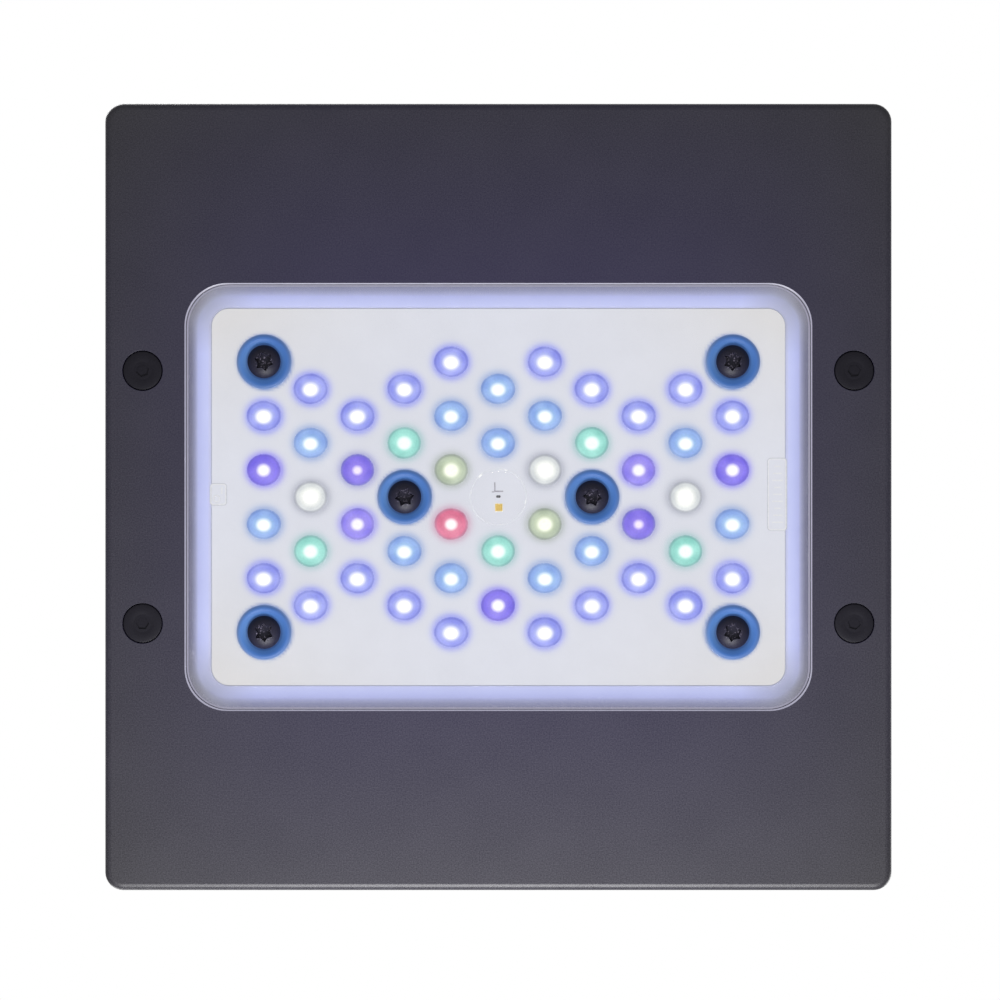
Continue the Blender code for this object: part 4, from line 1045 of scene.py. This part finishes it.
def makeLensMarks():
    # two moulded frames with plain raised bars, and the ring round the middle with its painted
    # glints
    face = fromBox("lens_plate")[1].z - lens["thick"]
    low, high = face - lens["markDepth"], face - 0.02
    marks = bmesh.new()
    for centre, size in (lens["padLeft"], lens["padRight"]):
        rim = block(size, low, high, 0.9, 5, 0.16, 0, 1, centre)
        pour(marks, combine(rim, block([s - 0.9 for s in size], low - 1, high + 1, 0.5, 4,
                                       centre=centre)))
    x, y = lens["padLeft"][0]
    pour(marks, lathe([(0.55, high), (0.6, low), (0.85, low), (0.9, high)], 20, closed=True,
                      centre=(x - 0.4, y + 1.0, 0)),
         block((0.35, 1.7), low, high, 0.1, 2, centre=(x + 0.8, y - 0.9)))
    x, y = lens["padRight"][0]
    for step in range(9):
        across = 1.5 + 0.5 * (step % 3)
        bar = block((across, 0.35), low, high, 0.1, 2, centre=(x + 0.1, y - 6.4 + step * 1.6))
        pour(marks, bar)
    makePiece("lensMarks", marks, [frosted(0), frosted(1)],
              accent=lambda f: abs(f.normal.z) < 0.9)
    ring = lathe([(6.2, face - 0.96), (6.3, face - 1.0), (6.45, face - 0.96), (6.62, face - 0.6),
                  (6.62, face - 0.02), (6.5, face - 0.6)], 96, closed=True)
    makePiece("lensRing", ring, paintedGlintRing())


def frosted(side):
    # the flat tops carry the board's light, the sloped sides turn it away
    paint = Paint(("frosted top", "frosted side")[side])
    fine = paint.noise(0.5, 2.0)
    color = (tone(224, 225, 231), tone(196, 197, 207))[side]
    paint.bump(fine, 0.01, 0.4)
    paint.glow(paint.vary(color, 0.05, fine), 0.92)
    return paint.finish({"Base Color": tone(20, 20, 22), "Roughness": 0.5})


def paintedGlintRing():
    # faint, with painted glints: pale and lightly tinted reflections of the emitters round it
    paint = Paint("painted glint ring")
    x, y = paint.parts(paint.where())[:2]
    patches = paint.noise(2.6, 1.0)
    glint = patches.above(0.6, 0.1)
    tint = paint.mix(y.above(3.0, 2.0), tone(250, 252, 252), tone(222, 250, 232))
    tint = paint.mix((0 - x).above(3.5, 1.0) * y.above(0.5, 1.0), tint, tone(252, 216, 230))
    paint.bump(patches, 0.01, 0.3)
    paint.glow(paint.mix(glint, tone(226, 228, 234), tint), 0.96)
    return paint.finish({"Base Color": tone(20, 20, 22), "Roughness": 0.6,
                         "Specular IOR Level": 0.1, "Alpha": glint * 0.75 + 0.12})


print("lens plate")
makeLensPlate()
makeLensMarks()


# what shows under the lens's middle ring

def makeSensors():
    low, high = fromBox("sensor_chip")
    chip = block((high.x - low.x, high.y - low.y), low.z, high.z, 0.15, 3, 0.12, 0, 2,
                 middle("sensor_chip").xy)
    makePiece("sensorChip", chip, glowPaint("amber resin", (207, 189, 128), 0.35),
              ["sensor_chip"])
    low, high = fromBox("sensor_eye")
    eye = block((1.05, 0.6), low.z, high.z, 0.25, 4, 0.1, 0, 2, middle("sensor_eye").xy)
    makePiece("sensorEye", eye, glowPaint("dark eye", (58, 58, 62), 0.4),
              ["sensor_eye"])
    base, rise = high.z - 0.05, high.z + 0.25
    track = block((2.0, 0.3), base, rise, 0.1, 2, centre=(0.15, -1.35))
    pour(track, block((0.3, 2.2), base, rise, 0.1, 2, centre=(-0.85, -2.4)),
         block((0.7, 0.25), base, rise, 0.1, 2, centre=(-1.25, -1.2)))
    makePiece("sensorTrack", track, glowPaint("tinned track", (138, 136, 146), 0.4))


def glowPaint(name, color, roughness):
    paint = Paint(name)
    fine = paint.noise(0.3, 2.0)
    shade = paint.vary(tone(*color), 0.12, fine)
    return paint.finish({"Base Color": shade, "Roughness": roughness, "Emission Color": shade,
                         "Emission Strength": 0.55})


print("sensors")
makeSensors()


# control button and indicator on the front edge of the roof

controls = {"button": 5.0, "stem": 1.6, "stemLength": 1.0, "flangeTop": 2.4, "light": 1.5}


def makeControls():
    low, high = fromBox("mode_button")
    radius, rise = controls["button"], high.z
    stem, flange = low.z + controls["stemLength"], low.z + controls["flangeTop"]
    profile = [(0, rise - 0.35), (2.2, rise - 0.28), (3.4, rise - 0.12), (4.2, rise - 0.02),
               (4.6, rise), (4.9, rise - 0.12), (radius, rise - 0.4), (radius, flange),
               (0, flange)]
    bm = lathe(profile, 56)
    pour(bm, rod((high.x - low.x) / 2, stem, flange, 48), rod(controls["stem"], low.z, stem, 24))
    makeRound("mode_button", bm, blackPlastic, "button")
    low, high = fromBox("status_light")
    spot, radius = (*middle("status_light").xy, 0), controls["light"]
    bm = lathe([(0, high.z), (1.2, high.z), (1.42, high.z - 0.1), (radius, high.z - 0.3),
                (radius, low.z), (0, low.z)], 32, centre=spot)
    makePiece("statusLight", bm, glowPaint("indicator lens", (150, 205, 235), 0.2),
              ["status_light"])


print("controls")
makeControls()


# the inner parts keep their solids and get their finishes

innerFinishes = {
    aluminium: ["heat_sink"],
    siliconePad: ["thermal_pad"],
    blackPlastic: ["fan_frame", "control_chip", "dc_socket"],
    copper: ["fan_stator"],
    brass: ["fan_bearing"],
    boardGreen: ["driver_board", "key_board"],
    sleeveDark: [f"capacitor_{number}" for number in range(1, 4)] + ["choke_1", "choke_2"],
    plated: ["wireless_module", "tact_switch"],
    leadRed: ["led_lead", "fan_lead", "key_lead"],
}
for material, names in innerFinishes.items():
    for name in names:
        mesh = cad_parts[name].data
        mesh.materials.clear()
        mesh.materials.append(material)


# studio: a pale floor far below, soft lights and a pale surround, in metres

print("studio")
studio = {
    "floorZ": -1.6, "floorSide": 60.0, "cameraZ": -1.30, "framed": 0.2287,
    "aim": (0.00037, 0.00069), "sensor": 36.0,
    "surround": (0.25, 0.45), "zenith": (0.93, 1.0),  # height on the sky's ramp, and grey
}
lights = {  # place, target, size and power
    "rearGlow": ((0.0, 0.22, -0.15), (0.0, 0.06, 0.0), (0.2, 0.09), 1.6),
    "topKey": ((-0.7, -0.9, 1.1), (0, 0, 0.02), (0.9, 0.9), 26),
    "topFill": ((1.0, 0.6, 0.8), (0, 0, 0.02), (0.8, 0.8), 9),
    "topBack": ((-0.5, 1.1, 0.7), (0, 0, 0.02), (0.7, 0.5), 8),
}


def makeFloor():
    bm = bmesh.new()
    bmesh.ops.create_grid(bm, x_segments=1, y_segments=1, size=studio["floorSide"] / 2)
    moved(bm, (0, 0, studio["floorZ"]))
    mesh = bpy.data.meshes.new("studioFloor")
    bm.to_mesh(mesh)
    bm.free()
    floor = bpy.data.objects.new("studioFloor", mesh)
    scene.collection.objects.link(floor)
    paint = Paint("studio floor")
    mesh.materials.append(paint.finish({
        "Base Color": paint.vary((0.74, 0.74, 0.74), 0.01, paint.noise(30.0)), "Roughness": 0.8}))


def makeSurround():
    world = bpy.data.worlds.new("surround")
    scene.world = world
    world.use_nodes = True
    nodes, links = world.node_tree.nodes, world.node_tree.links
    place = nodes.new("ShaderNodeTexCoord")
    split = nodes.new("ShaderNodeSeparateXYZ")
    ramp = nodes.new("ShaderNodeValToRGB")
    for element, key in zip(ramp.color_ramp.elements, ("surround", "zenith")):
        height, grey = studio[key]
        element.position = height
        element.color = (grey, grey, grey, 1)
    links.new(place.outputs["Generated"], split.inputs[0])
    links.new(split.outputs["Z"], ramp.inputs[0])
    links.new(ramp.outputs[0], nodes["Background"].inputs["Color"])


def makeLight(name, place, target, size, power):
    light = bpy.data.lights.new(name, "AREA")
    light.shape = "RECTANGLE"
    light.size, light.size_y = size
    light.energy = power
    lamp = bpy.data.objects.new(name, light)
    lamp.location = place
    direction = Vector(target) - Vector(place)
    lamp.rotation_euler = direction.to_track_quat("-Z", "Y").to_euler()
    lamp.visible_camera = False
    scene.collection.objects.link(lamp)


def makeCamera():
    data = bpy.data.cameras.new("camera")
    data.sensor_width = studio["sensor"]
    data.lens = studio["sensor"] * -studio["cameraZ"] / studio["framed"]
    data.clip_start, data.clip_end = 0.01, 50.0
    camera = bpy.data.objects.new("camera", data)
    camera.location = (*studio["aim"], studio["cameraZ"])
    camera.rotation_euler = (math.pi, 0, 0)
    scene.collection.objects.link(camera)
    scene.camera = camera


makeFloor()
makeSurround()
for name, settings in lights.items():
    makeLight(name, *settings)
makeCamera()
scene.view_settings.view_transform = "Standard"

print("finished")
